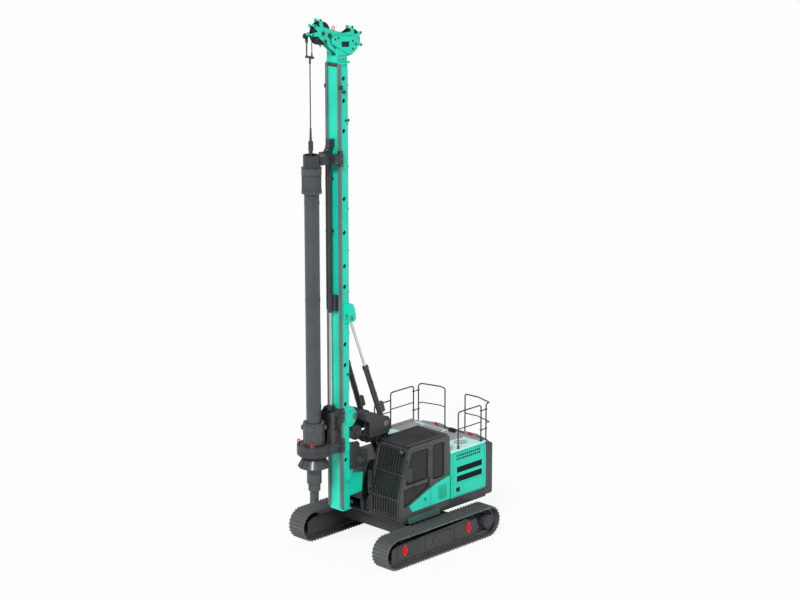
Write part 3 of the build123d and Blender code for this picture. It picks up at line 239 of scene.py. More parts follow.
def chrome(name):
    s = Shader(name)
    film = s.noise(5.0, 4.0, 0.6, (1.0, 1.0, 0.3))
    base = s.blend(film.above(0.45, 0.8) * 0.4, palette["chrome"], palette["zinc"])
    return s.surface({"Base Color": base, "Roughness": 0.1 + film * 0.12, "Metallic": 1.0})


def tintedGlass(name):
    s = Shader(name)
    film = s.noise(0.9, 3.0)
    base = s.blend(film.above(0.4, 0.8) * 0.3, palette["glass"], palette["dark"])
    return s.surface({"Base Color": base, "Roughness": 0.05 + film * 0.05, "Alpha": 0.8 + film * 0.08,
                      "Specular IOR Level": 0.3})


def lampLens(name, colour, glow):
    s = Shader(name)
    ribs = s.add("ShaderNodeTexWave", {"wave_type": "BANDS", "bands_direction": "Z"},
                 {"Vector": s.place, "Scale": 40.0})["Fac"]
    base = s.blend(ribs * 0.5, colour, palette["zinc"])
    return s.surface({"Base Color": base, "Roughness": 0.12 + ribs * 0.1, "Emission Color": colour,
                      "Emission Strength": glow, "Normal": s.bump(ribs, 0.001, 0.5)})


def fabric(name, colour):
    s = Shader(name)
    weave = s.add("ShaderNodeTexWave", {"wave_type": "BANDS", "bands_direction": "DIAGONAL"},
                  {"Vector": s.place, "Scale": 260.0, "Distortion": 1.0})["Fac"]
    cloud = s.noise(8.0, 3.0)
    base = s.blend(cloud, colour, palette["dark"])
    normal = s.bump(weave, 0.0008, 0.6)
    return s.surface({"Base Color": base, "Roughness": 0.85 + weave * 0.1, "Normal": normal})


def ropeSteel(name):
    s = Shader(name)
    cloud = s.noise(40.0, 3.0)
    base = s.blend(cloud, rgb(96, 97, 99), rgb(58, 59, 61))
    return s.surface({"Base Color": base, "Roughness": 0.5 + cloud * 0.2, "Metallic": 0.6})


print("mixing the finishes")
finishes = {
    "green": paint("greenPaint", palette["green"], palette["greenDeep"], 0.34, 0.12, 0.25),
    "dark": paint("darkPaint", palette["dark"], palette["darkDeep"], 0.36, 0.25, 0.8, 0.006),
    "kelly": paint("kellyPaint", rgb(72, 76, 78), rgb(60, 64, 66), 0.3, 0.3, 0.7, 0.006),
    "cabDark": paint("cabPaint", rgb(74, 76, 77), rgb(64, 66, 68), 0.36, 0.2, 0.5),
    "weight": paint("weightPaint", rgb(73, 76, 78), rgb(64, 67, 69), 0.42, 0.12, 0.4),
    "slat": paint("slatPaint", rgb(12, 150, 124), rgb(10, 130, 108), 0.5, 0.05, 0.2),
    "black": paint("blackPaint", rgb(30, 31, 33), rgb(22, 23, 24), 0.55, 0.05, 0.4),
    "mint": paint("mintPaint", palette["mint"], rgb(190, 240, 234), 0.4, 0.1, 0.2),
    "step": paint("stepPaint", palette["step"], rgb(58, 90, 84), 0.55, 0.0, 0.3),
    "grey": paint("greyPaint", rgb(158, 160, 162), rgb(138, 140, 143), 0.5, 0.05, 0.3),
    "paleGrey": paint("paleGreyPaint", rgb(196, 199, 203), rgb(180, 184, 188), 0.4, 0.1, 0.3),
    "guide": paint("guidePaint", rgb(112, 115, 117), rgb(96, 99, 101), 0.38, 0.1, 0.4),
    "red": paint("redPaint", palette["red"], rgb(206, 22, 36), 0.35, 0.2, 0.3),
    "shoe": bareSteel("shoeSteel", palette["shoe"], palette["shoeDeep"], 0.36, 0.65, (1.0, 6.0, 1.0), 1.0),
    "steel": bareSteel("guideSteel", rgb(132, 134, 137), rgb(104, 106, 109), 0.36),
    "cast": bareSteel("castSteel", rgb(84, 86, 88), rgb(64, 66, 68), 0.55, 0.35, (1.0, 1.0, 1.0)),
    "zinc": bareSteel("zincSteel", rgb(150, 152, 154), rgb(118, 120, 122), 0.35, 0.8, (4.0, 4.0, 4.0)),
    "brass": bareSteel("brassFitting", rgb(196, 160, 92), rgb(150, 118, 66), 0.3, 0.8, (4.0, 4.0, 4.0)),
    "chrome": chrome("chromeRod"),
    "rubber": rubber("sealRubber", palette["rubber"]),
    "hose": rubber("hoseRubber", rgb(32, 33, 35), 0.5),
    "glass": tintedGlass("cabGlass"),
    "darkLens": lampLens("darkLampGlass", rgb(60, 63, 66), 0.0),
    "redLens": lampLens("tailLampGlass", rgb(196, 20, 24), 0.1),
    "amberLens": lampLens("beaconGlass", rgb(236, 132, 20), 0.1),
    "fabric": fabric("seatCloth", rgb(34, 35, 38)),
    "rope": ropeSteel("ropeSteel"),
}

# Finish of each node of the frame; the rest are dark
nodeFinish = {
    "slew_ring": "steel", "track_left": "shoe", "track_right": "shoe", "tie_down_lugs": "red",
    "counterweight": "weight", "engine_block": "cast", "house_panels": "green", "engine_hood": "mint",
    "side_step": "step", "toe_boards": "grey", "tail_eyes": "red", "cab_frame": "cabDark",
    "cab_glass": "glass", "cab_guard": "dark", "cab_skirt": "green", "operator_seat": "fabric",
    "cab_door": "cabDark", "door_glass": "glass", "door_skirt": "green", "lift_rod": "chrome",
    "mast_box": "green", "guide_bars": "guide", "mast_head": "green", "winch_box": "green",
    "hoist_rope": "rope", "stay_rod_left": "chrome", "stay_rod_right": "chrome", "crowd_rod": "chrome",
    "lifting_eyes": "red", "kelly_bar": "kelly", "drive_sleeve": "kelly", "main_drum": "cast",
              "aux_drum": "cast", "front_sheave": "black",
    "rear_sheave": "black",
}
for name, node in nodes.items():
    node.data.materials.clear()
    node.data.materials.append(finishes[nodeFinish.get(name, "dark")])


# Piece tools: everything is laid out from the slewing axis and moved when it is finished

upward, forward, sideways = (0, 0, 1), (1, 0, 0), (0, 1, 0)


def ringOf(count, radius, start=0.0):
    angles = (start + 2 * math.pi * k / count for k in range(count))
    return [(radius * math.cos(a), radius * math.sin(a)) for a in angles]


def squareTo(axis):
    # The axis with two directions square to it
    axis = Vector(axis).normalized()
    side = axis.orthogonal().normalized()
    return axis, side, axis.cross(side)


def turned(degrees, axis="Z"):
    return Matrix.Rotation(math.radians(degrees), 3, axis)


def spoke(degrees):
    # Unit length at an angle above forward, in the upright plane
    return Vector((math.cos(math.radians(degrees)), 0, math.sin(math.radians(degrees))))


def heading(path, i):
    # Direction of a line at one of its points
    return (path[min(i + 1, len(path) - 1)] - path[max(i - 1, 0)]).normalized()


def addObject(name, data):
    thing = bpy.data.objects.new(name, data)
    bpy.context.scene.collection.objects.link(thing)
    return thing


def between(start, end, count):
    start, end = Vector(start), Vector(end)
    return [start.lerp(end, k / (count - 1)) for k in range(count)]


class Maker:
    def __init__(self):
        self.mesh = bmesh.new()

    def solid(self, loops, closed=False):
        # Joins equal rings of points into a closed skin
        rings = [[self.mesh.verts.new(p) for p in loop] for loop in loops]
        count = len(rings[0])
        spans = list(zip(rings, rings[1:] + (rings[:1] if closed else [])))
        for low, high in (spans if closed else spans[:len(rings) - 1]):
            for i in range(count):
                j = (i + 1) % count
                self.mesh.faces.new((low[i], low[j], high[j], high[i]))
        if not closed:
            self.mesh.faces.new(rings[0][::-1])
            self.mesh.faces.new(rings[-1])

    def box(self, low, high, turn=None, pivot=None):
        (x0, y0, z0), (x1, y1, z1) = low, high
        loops = [[Vector(p) for p in ((x0, y0, z), (x1, y0, z), (x1, y1, z), (x0, y1, z))] for z in (z0, z1)]
        if turn:
            pivot = Vector(pivot) if pivot else (Vector(low) + Vector(high)) / 2
            loops = [[turn @ (p - pivot) + pivot for p in loop] for loop in loops]
        self.solid(loops)

    def prismY(self, outline, y0, y1):
        self.solid([[Vector((x, y, z)) for x, z in outline] for y in (y0, y1)])

    def prismX(self, outline, x0, x1):
        self.solid([[Vector((x, y, z)) for y, z in outline] for x in (x0, x1)])

    def lathe(self, centre, axis, profile, sides=24):
        # Profile of (distance along the axis, radius)
        axis, side, other = squareTo(axis)
        self.solid([[Vector(centre) + axis * along + side * a + other * b for a, b in ringOf(sides, radius)]
                    for along, radius in profile])

    def rod(self, centre, axis, start, end, radius, sides=24):
        self.lathe(centre, axis, [(start, radius), (end, radius)], sides)

    def stud(self, centre, axis, radius, crown, rim, height, sides=24):
        # Round stud, cut back from its radius at the rim to its crown at full height
        self.lathe(centre, axis, [(0, radius), (rim, radius), (height, crown)], sides)

    def tube(self, points, radius, sides=8, closed=False):
        points = [Vector(p) for p in points]
        count = len(points)
        loops = []
        side = None
        for i, point in enumerate(points):
            before = points[i - 1] if (i > 0 or closed) else point
            after = points[(i + 1) % count] if (i < count - 1 or closed) else point
            way = (after - before).normalized()
            side = side or way.orthogonal().normalized()
            side = (side - way * side.dot(way)).normalized()
            other = way.cross(side)
            loops.append([point + side * a + other * b for a, b in ringOf(sides, radius)])
        self.solid(loops, closed)

    def hoop(self, centre, axis, radius, wire, count=24, sides=6):
        side, other = squareTo(axis)[1:]
        points = [Vector(centre) + side * a + other * b for a, b in ringOf(count, radius)]
        self.tube(points, wire, sides, True)

    def bolt(self, centre, axis, radius, height, washer=True):
        if washer:
            self.rod(centre, axis, 0, height * 0.25, radius * 1.4, 10)
        self.stud(centre, axis, radius, radius * 0.8, height * 0.85, height, 6)

    def boltRing(self, centre, axis, ring, count, radius, height, start=0.0):
        axis, side, other = squareTo(axis)
        for a, b in ringOf(count, ring, start):
            self.bolt(Vector(centre) + side * a + other * b, axis, radius, height, False)

    def boltRow(self, start, end, count, axis, radius, height):
        for place in between(start, end, count):
            self.bolt(place, axis, radius, height)

    def sideRow(self, side, start, end, count, radius, height):
        # A row on a side face, its points given for the left side
        mirror = Vector((1, side, 1))
        self.boltRow(Vector(start) * mirror, Vector(end) * mirror, count, (0, side, 0), radius, height)

    def pinCap(self, centre, axis, radius, depth):
        # End plate of a pin, held by two bolts
        self.stud(centre, axis, radius, radius * 0.9, depth * 0.8, depth, 28)
        self.boltRing(Vector(centre) + Vector(axis).normalized() * depth, axis, radius * 0.55, 2,
                      radius * 0.16, 0.008)

    def finish(self, name, body, finish, slot, bevel=0.0, angle=35):
        bmesh.ops.translate(self.mesh, verts=self.mesh.verts, vec=(slewX, 0, 0))
        bmesh.ops.recalc_face_normals(self.mesh, faces=self.mesh.faces)
        mesh = bpy.data.meshes.new(name)
        self.mesh.to_mesh(mesh)
        self.mesh.free()
        piece = addObject(name, mesh)
        if bevel:
            modifier = piece.modifiers.new("bevel", "BEVEL")
            modifier.width = bevel
            modifier.segments = 2
            modifier.limit_method = "ANGLE"
        for face in mesh.polygons:
            face.use_smooth = True
        mesh.set_sharp_from_angle(angle=math.radians(angle))
        mesh.materials.append(finishes[finish])
        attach(piece, body)
        return piece


def curved(points, steps=8):
    # Points on a smooth line through the given ones
    points = [Vector(p) for p in points]
    padded = [points[0] * 2 - points[1]] + points + [points[-1] * 2 - points[-2]]
    line = []
    for a, b, c, d in zip(padded, padded[1:], padded[2:], padded[3:]):
        for k in range(steps):
            t = k / steps
            line.append(0.5 * ((2 * b) + (c - a) * t + (2 * a - 5 * b + 4 * c - d) * t * t
                               + (3 * b - a - 3 * c + d) * t ** 3))
    return line + [points[-1]]


def rounded(corners, radius, steps=5):
    # A closed line with its corners cut by arcs
    corners = [Vector(c) for c in corners]
    line = []
    for i, corner in enumerate(corners):
        back = (corners[i - 1] - corner).normalized() * radius
        ahead = (corners[(i + 1) % len(corners)] - corner).normalized() * radius
        for k in range(steps + 1):
            t = k / steps
            line.append(corner + back * (1 - t) ** 2 + ahead * t ** 2)
    return line


def span(name):
    # A node's box, measured from the slewing axis
    low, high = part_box(name)
    return low - Vector((slewX, 0, 0)), high - Vector((slewX, 0, 0))


# Tracks: links, pins, shoe bolts and the lips where shoes overlap

track = {"shoes": 46, "grouser": 0.026, "halfChain": 0.085, "linkDepth": (-0.03, -0.098),
         "boltAt": (0.36, 0.5),
         "boltY": 0.064, "bolt": 0.013}


def loopPlace(low, high, along, out):
    radius = high.z / 2
    path = radius - track["grouser"]
    rear, front = low.x + radius, high.x - radius
    run, turn = front - rear, math.pi * path
    along %= 2 * (run + turn)
    if along < run:
        x, angle = rear + along, -math.pi / 2
    elif along < run + turn:
        x, angle = front, (along - run) / path - math.pi / 2
    elif along < 2 * run + turn:
        x, angle = front - (along - run - turn), math.pi / 2
    else:
        x, angle = rear, (along - 2 * run - turn) / path + math.pi / 2
    way = Vector((math.cos(angle), 0, math.sin(angle)))
    return Vector((x, 0, radius)) + way * (path + out), way


def trackDetail(word):
    low, high = span("track_" + word)
    middle = (low.y + high.y) / 2
    path = high.z / 2 - track["grouser"]
    pitch = 2 * (high.x - low.x - high.z + math.pi * path) / track["shoes"]
    plates, links = Maker(), Maker()
    for shoe in range(track["shoes"]):
        start = shoe * pitch
        lip = [loopPlace(low, high, start + share * pitch, out)[0]
               for share, out in ((0.9, -0.001), (0.91, 0.005), (1.02, 0.005), (1.03, -0.001))]
        plates.solid([[p + Vector((0, y, 0)) for p in lip] for y in (low.y + 0.004, high.y - 0.004)])
        for share in track["boltAt"]:
            place, way = loopPlace(low, high, start + share * pitch, 0)
            for y in (-track["boltY"], track["boltY"]):
                plates.bolt(place + Vector((0, middle + y, 0)), way, track["bolt"], 0.012)
        for edge in (-1, 1):
            face = middle + edge * track["halfChain"]
            outline = [loopPlace(low, high, start + share * pitch, track["linkDepth"][deep])[0]
                       for share, deep in ((0.16, 0), (0.84, 0), (0.94, 1), (0.06, 1))]
            links.solid([[p + Vector((0, y, 0)) for p in outline] for y in (face, face + edge * 0.012)])
            pin = loopPlace(low, high, start, -0.066)[0] + Vector((0, face, 0))
            links.stud(pin, (0, edge, 0), 0.026, 0.019, 0.014, 0.02, 12)
    plates.finish("shoeBolts." + word, "undercarriage", "shoe", "shoe_steel")
    links.finish("chainLinks." + word, "undercarriage", "shoe", "shoe_steel", 0.002)


print("dressing the tracks")
for word in ("left", "right"):
    trackDetail(word)

# Undercarriage: final drives, covers, ring bolts, travel hoses

drive = {"face": 0.010, "ring": 0.128, "count": 18, "bolt": 0.012}
covers = {"runs": ((-1.18, -0.44), (-0.33, 0.58), (0.76, 1.535)), "z": (0.235, 0.52), "inset": 0.035,
          "bolt": 0.013}


def undercarriageDetail():
    bolts, dark, hoses = Maker(), Maker(), Maker()
    low, high = span("drive_sprockets")
    x, z = (low.x + high.x) / 2, (low.z + high.z) / 2
    face = span("tie_down_lugs")[1].y - 0.066
    for side in (-1, 1):
        out = Vector((0, side, 0))
        hub = Vector((x, side * (high.y - drive["face"]), z))
        bolts.boltRing(hub, out, drive["ring"], drive["count"], drive["bolt"], 0.009)
        bolts.boltRing(hub, out, 0.045, 6, 0.008, 0.008)
        dark.hoop(hub - out * 0.002, out, 0.158, 0.005, 40)
        dark.hoop(hub - out * 0.03, out, 0.176, 0.006, 40)
        bolts.rod(hub + out * 0.001 + Vector((0.08, 0, 0.02)), out, 0, 0.008, 0.016, 8)
        for x0, x1 in covers["runs"]:
            for level in covers["z"]:
                bolts.sideRow(side, (x0 + covers["inset"], face, level), (x1 - covers["inset"], face, level),
                              4, covers["bolt"], 0.012)
        # Grease port and adjuster cover ahead of the middle cover
        dark.box((0.15, side * face - 0.002 * side, 0.32), (0.33, side * (face + 0.012), 0.44))
        for offset in (0.0, 0.05, 0.1):
            start = (-0.45 + offset, side * 0.42, 0.66)
            hoses.tube(curved([start, (-0.8, side * 0.7, 0.5 + offset * 0.4),
                               (-1.1, side * 1.0, 0.42 + offset),
                               (-1.28, side * 1.2, 0.4 + offset)]), 0.016)
        motor = Vector((x, side * 1.285, z))
        dark.lathe(motor, -out, [(0, 0.15), (0.03, 0.15), (0.04, 0.12), (0.17, 0.11), (0.18, 0.07),
                                 (0.24, 0.065)], 32)
        bolts.boltRing(motor - out * 0.03, -out, 0.135, 12, 0.01, 0.01)
    ring = span("slew_ring")
    bolts.boltRing((0, 0, ring[0].z), upward, 0.621, 40, 0.012, 0.02)
    bolts.finish("trackBolts", "undercarriage", "dark", "dark_paint")
    dark.finish("driveRims", "undercarriage", "dark", "dark_paint", 0.003)
    hoses.finish("travelHoses", "undercarriage", "hose", "dark_paint")


print("dressing the undercarriage")
undercarriageDetail()

# Engine house: slats and black sheets of painted shade in the openings, hinges, latches, lids

house = {"x": (-1.85, -0.943), "large": (1.468, 1.702), "largeHeight": 0.15, "slats": 5, "face": 1.2,
         "rows": ((2.025, 2.09), (2.107, 2.172)), "hinges": (1.30, 1.66, 2.18),
         "latch": ((-1.05, 1.22), (-0.92, 1.33)),
         "seams": ((-1.93, 1.115, -0.80, 1.121), (-1.93, 2.215, -0.80, 2.221),
                   (-0.806, 1.115, -0.80, 2.221), (-1.93, 1.115, -1.924, 2.221),
                   (-1.93, 1.425, -0.80, 1.429))}


def tailX(y):
    # The counterweight's back is an arc through its corners and its middle
    low, high = span("counterweight")
    half, corner = high.y, -2.255
    bulge = corner - low.x
    radius = (half ** 2 + bulge ** 2) / (2 * bulge)
    return low.x + radius - math.sqrt(radius ** 2 - y ** 2)


def houseDetail():
    slats, dark, hinges = Maker(), Maker(), Maker()
    x0, x1 = house["x"]
    for side in (-1, 1):
        face = side * house["face"]
        inside = face - side * 0.045
        # Black sheet behind the openings: painted shade for the dark inside of the house
        dark.box((x0 - 0.04, inside, 1.44), (x1 + 0.04, inside - side * 0.004, 2.2))
        # Dark patches in the two vent rows: painted shade standing in for open holes
        for z0, z1 in house["rows"]:
            dark.box((-1.80, face - side * 0.006, z0), (-0.90, face - side * 0.010, z1))
        # Slats painted black, the same painted shade as the openings
        for z0 in house["large"]:
            step = house["largeHeight"] / house["slats"]
            for k in range(house["slats"]):
                z = z0 + k * step
                slats.prismX([(face - side * 0.004, z), (face - side * 0.004, z + 0.006),
                              (face - side * 0.036, z + 0.03), (face - side * 0.036, z + 0.024)], x0, x1)
        for z in house["hinges"]:
            hinges.rod((-0.738, face + side * 0.006, z), upward, -0.05, 0.05, 0.011, 12)
            hinges.box((-0.79, face, z - 0.035), (-0.738, face + side * 0.005, z + 0.035))
        # Latch: a dark dish with its paddle
        (lx0, lz0), (lx1, lz1) = house["latch"]
        dark.box((lx0, face, lz0), (lx1, face + side * 0.003, lz1))
        dark.box((lx0 + 0.03, face, lz0 + 0.03), (lx1 - 0.02, face + side * 0.012, lz1 - 0.03))
        # Seams round the door and along the skirt
        for left, bottom, right, top in house["seams"]:
            dark.box((left, face, bottom), (right, face + side * 0.0012, top))
    slats.finish("houseSlatsPaintedShade", "upper_structure", "black", "dark_paint")
    dark.finish("houseLatchSeamsAndPaintedShade", "upper_structure", "black", "dark_paint")
    hinges.finish("houseHinges", "upper_structure", "green", "green_paint", 0.0015)


hood = {"plate": 0.026, "cap": (-1.39, 0.88), "lids": (-0.43, 0.28), "lidHalf": 0.32, "lidX": (-1.86, -1.06),
        "hinges": (-1.72, -1.2), "handle": -1.5, "boltRows": (-0.78, -0.9),
        "walkways": ((-1.975, -1.17, -1.90, 0.04), (-1.975, 0.26, -1.83, 1.16),
                     (-1.82, -1.17, -1.05, -0.80))}


def hoodDetail():
    cover, cap, dark, zinc = Maker(), Maker(), Maker(), Maker()
    top = span("engine_hood")[1].z - hood["plate"]
    centre = Vector((*hood["cap"], top + 0.024))
    cap.lathe(centre, upward, [(0, 0.152), (0.008, 0.152), (0.014, 0.13), (0.014, 0.03), (0.02, 0.025)], 40)
    dark.hoop(centre + Vector((0, 0, 0.004)), upward, 0.156, 0.004, 40)
    zinc.boltRing(centre + Vector((0, 0, 0.01)), upward, 0.118, 8, 0.008, 0.008)
    # Lids, grab handles and the low box between the rails
    rear, front = hood["lidX"]
    for y in hood["lids"]:
        low, high = y - hood["lidHalf"], y + hood["lidHalf"]
        cover.solid([rounded([(rear, low, z), (front, low, z), (front, high, z), (rear, high, z)], 0.05)
                     for z in (top - 0.001, top + 0.010)])
        grip = [(hood["handle"], y + along, top + rise)
                for along, rise in ((-0.09, 0.008), (-0.085, 0.06), (0.085, 0.06), (0.09, 0.008))]
        dark.tube(curved(grip, 6), 0.008)
        for x in hood["hinges"]:
            zinc.rod((x, y + 0.33, top + 0.008), forward, -0.045, 0.045, 0.009, 12)
    dark.box((-1.93, 0.06, top), (-1.84, 0.24, top + 0.09))
    dark.box((-1.92, 0.07, top + 0.09), (-1.85, 0.23, top + 0.102))
    # Grey walkway plates along the hood's rear edge and on the right
    for x0, y0, x1, y1 in hood["walkways"]:
        cover.box((x0, y0, top - 0.001), (x1, y1, top + 0.006))
    for x in hood["boltRows"]:
        zinc.boltRow((x, -1.1, top), (x, 1.1, top), 12, upward, 0.008, 0.008)
    cap.finish("hoodCap", "upper_structure", "paleGrey", "pale_deck", 0.001)
    cover.finish("hoodCovers", "upper_structure", "grey", "pale_deck", 0.003)
    dark.finish("hoodFittings", "upper_structure", "black", "dark_paint", 0.003)
    zinc.finish("hoodBolts", "upper_structure", "zinc", "machined_steel")


railFeet = {"side": ((-1.03, 2.3), (-1.85, 2.3), (-2.03, 2.18)),
            "tail": ((-2.25, -0.44, 2.18), (-2.25, 0.245, 2.18)),
            "y": 1.152, "linkDrops": (0.145, 0.64), "links": (-1.85, -2.03)}


def railDetail():
    sockets = Maker()
    feet = [(x, side * railFeet["y"], z) for x, z in railFeet["side"] for side in (-1, 1)]
    feet += railFeet["tail"]
    feet.append((-0.459, -railFeet["y"], 2.05))
    for foot in feet:
        sockets.lathe(foot, upward, [(0, 0.036), (0.008, 0.036), (0.01, 0.026), (0.07, 0.026),
                                     (0.075, 0.02)], 20)
        sockets.bolt(Vector(foot) + Vector((0, 0.024, 0.045)), sideways, 0.008, 0.01)
    top = span("guard_rails")[1].z - 0.017
    for side in (-1, 1):
        for x in railFeet["links"]:
            for drop in railFeet["linkDrops"]:
                sockets.rod((x, side * railFeet["y"], top - drop), forward, -0.026, 0.026, 0.021, 16)
                sockets.bolt((x, side * (railFeet["y"] + 0.019), top - drop), (0, side, 0), 0.007, 0.008)
    sockets.finish("railSockets", "upper_structure", "dark", "dark_paint", 0.0015)


tail = {"seamZ": 1.52, "lampY": 0.86, "backRadius": 4.09, "plugY": 0.4, "plugs": (1.35, 1.75)}


def tailDetail():
    seams, lamps, red, amber = Maker(), Maker(), Maker(), Maker()
    ys = [1.09 - k * 0.109 for k in range(21)]
    z = tail["seamZ"]
    seams.solid([[(tailX(y) - 0.0015, y, z - 0.004), (tailX(y) - 0.0015, y, z + 0.004),
                  (tailX(y) + 0.01, y, z + 0.004), (tailX(y) + 0.01, y, z - 0.004)] for y in ys])
    for side in (-1, 1):
        seams.box((-2.19, side * 1.19, z - 0.004), (-1.99, side * 1.2012, z + 0.004))
        y = side * tail["lampY"]
        x = tailX(y)
        turn = Matrix.Rotation(side * math.asin(tail["lampY"] / tail["backRadius"]), 3, "Z")
        lamps.box((x - 0.022, y - 0.11, 1.02), (x + 0.02, y + 0.11, 1.13), turn, (x, y, 1.08))
        red.box((x - 0.027, y - 0.10, 1.03), (x - 0.02, y - 0.01, 1.12), turn, (x, y, 1.08))
        amber.box((x - 0.027, y + 0.01, 1.03), (x - 0.02, y + 0.10, 1.12), turn, (x, y, 1.08))
        for z in tail["plugs"]:
            plugY = side * tail["plugY"]
            seams.rod((tailX(plugY) - 0.004, plugY, z), forward, 0, 0.02, 0.05, 24)
    seams.finish("weightSeams", "upper_structure", "black", "dark_paint")
    lamps.finish("tailLamps", "upper_structure", "black", "dark_paint", 0.004)
    red.finish("tailLampRed", "upper_structure", "redLens", "red_paint", 0.003)
    amber.finish("tailLampAmber", "upper_structure", "amberLens", "red_paint", 0.003)


tank = {"doorZ": (1.2, 1.92), "split": (-0.05, 0.02), "doorEnd": 0.52, "caps": (-0.5, 0.2), "capY": -0.85,
        "treads": 3, "tread": (0.80, 1.56), "treadRun": 0.06, "treadRise": 0.165}


def tankDetail():
    seams, cap, steps = Maker(), Maker(), Maker()
    low, high = span("right_tank")
    y = low.y
    bottom, top = tank["doorZ"]
    rear, front = tank["split"]
    for x0, x1 in ((low.x + 0.06, rear), (front, tank["doorEnd"])):
        line = rounded([(x0, y, bottom), (x1, y, bottom), (x1, y, top), (x0, y, top)], 0.05)
        seams.tube(line, 0.003, 4, True)
        seams.box((x0 + 0.05, y - 0.004, 1.5), (x0 + 0.13, y, 1.6))
        seams.box((x0 + 0.07, y - 0.012, 1.52), (x0 + 0.11, y - 0.003, 1.58))
    for x in tank["caps"]:
        cap.lathe((x, tank["capY"], high.z), upward, [(0, 0.09), (0.012, 0.09), (0.014, 0.06), (0.05, 0.058),
                                                      (0.056, 0.05)], 28)
        cap.boltRing((x, tank["capY"], high.z + 0.012), upward, 0.074, 8, 0.007, 0.006)
    # Treads up the sloping front
    for k in range(tank["treads"]):
        x, z = tank["tread"][0] - k * tank["treadRun"], tank["tread"][1] + k * tank["treadRise"]
        steps.box((x - 0.02, -1.1, z), (x + 0.015, -0.75, z + 0.018))
        for edge in (-1.09, -0.77):
            steps.box((x - 0.06, edge, z - 0.03), (x + 0.01, edge + 0.012, z + 0.005))
    seams.finish("tankDoors", "upper_structure", "black", "dark_paint")
    cap.finish("tankCaps", "upper_structure", "zinc", "machined_steel", 0.002)
    steps.finish("tankSteps", "upper_structure", "grey", "step_grey", 0.002)


treads = {"along": 34, "across": 3, "pitch": (0.0295, 0.026), "half": (0.011, 0.0025), "boltZ": 0.95}


def stepDetail():
    tread = Maker()
    low, high = span("side_step")
    quarter = turned(45)
    along, across = treads["half"]
    for i in range(treads["along"]):
        for j in range(treads["across"]):
            x = low.x + 0.03 + i * treads["pitch"][0]
            y = low.y + 0.018 + j * treads["pitch"][1] + (i % 2) * 0.01
            turn = quarter if i % 2 else quarter.inverted()
            tread.box((x - along, y - across, high.z - 0.001), (x + along, y + across, high.z + 0.0025),
                      turn)
    for x in (low.x + 0.05, 0.0, 0.5, high.x - 0.05):
        tread.bolt((x, high.y, treads["boltZ"]), sideways, 0.01, 0.009)
    tread.finish("stepTread", "upper_structure", "step", "step_grey")


# Things on the deck: valve block, pipes and hoses beside the tower

def deckDetail():
    block, hoses, fittings = Maker(), Maker(), Maker()
    deck = 0.896
    block.box((-0.62, -0.05, deck + 0.25), (-0.34, 0.05, deck + 0.48))
    block.box((0.62, -0.29, deck), (0.9, -0.2, deck + 0.22))
    for k in range(5):
        x = 0.65 + k * 0.055
        fittings.lathe((x, -0.245, deck + 0.22), upward, [(0, 0.016), (0.02, 0.016), (0.022, 0.011),
                                                          (0.05, 0.011)], 12)
        hoses.tube(curved([(x, -0.245, deck + 0.26), (x, -0.25, deck + 0.4), (x - 0.12, -0.25, deck + 0.5),
                           (x - 0.5, -0.24, deck + 0.36), (x - 0.7, -0.24, deck + 0.12),
                           (x - 0.78, -0.235, deck)], 6), 0.013, 7)
    for k in range(4):
        y = -0.21 - k * 0.02
        hoses.tube(curved([(-0.3, y, deck + 0.1 + k * 0.05), (0.0, y, deck + 0.2 + k * 0.05),
                           (0.35, y - 0.01, deck + 0.14 + k * 0.04), (0.6, y, deck + 0.06 + k * 0.03)], 6),
                   0.012, 7)
    for side in (-1, 1):
        fittings.sideRow(side, (-1.9, 1.2, 0.93), (-0.75, 1.2, 0.93), 8, 0.011, 0.01)
        fittings.sideRow(side, (-1.9, 1.2, 1.06), (-0.75, 1.2, 1.06), 8, 0.011, 0.01)
    block.finish("valveBlocks", "upper_structure", "cast", "dark_paint", 0.006)
    hoses.finish("deckHoses", "upper_structure", "hose", "dark_paint")
    fittings.finish("deckFittings", "upper_structure", "dark", "dark_paint")


print("dressing the upper structure")
houseDetail()
hoodDetail()
railDetail()
tailDetail()
tankDetail()
stepDetail()
deckDetail()

# Cab: seals, windscreen, wipers, lamps, seat, mirrors

cab = {"face": 1.2, "inner": 0.2, "seal": 0.009,
       "rearSide": ((-0.48, 1.755), (-0.095, 1.755), (-0.095, 2.62), (-0.48, 2.62)),
       "right": ((-0.56, 1.65), (0.82, 1.65), (0.66, 2.62), (-0.56, 2.62)),
       "doorUpper": ((0.085, 1.83), (0.85, 1.83), (0.65, 2.59), (0.085, 2.59)),
       "doorLower": ((0.085, 1.59), (0.69, 1.345), (0.905, 1.27), (0.905, 1.725), (0.085, 1.725)),
       "screen": ((1.047, 1.085), (1.047, 1.461), (1.043, 1.5), (1.036, 1.538), (0.772, 2.598)),
       "lamp": (0.93, 2.68), "lampRadius": 0.062}


def seal(maker, outline, y, radius):
    maker.tube(rounded([(x, y, z) for x, z in outline], radius), cab["seal"], 6, True)


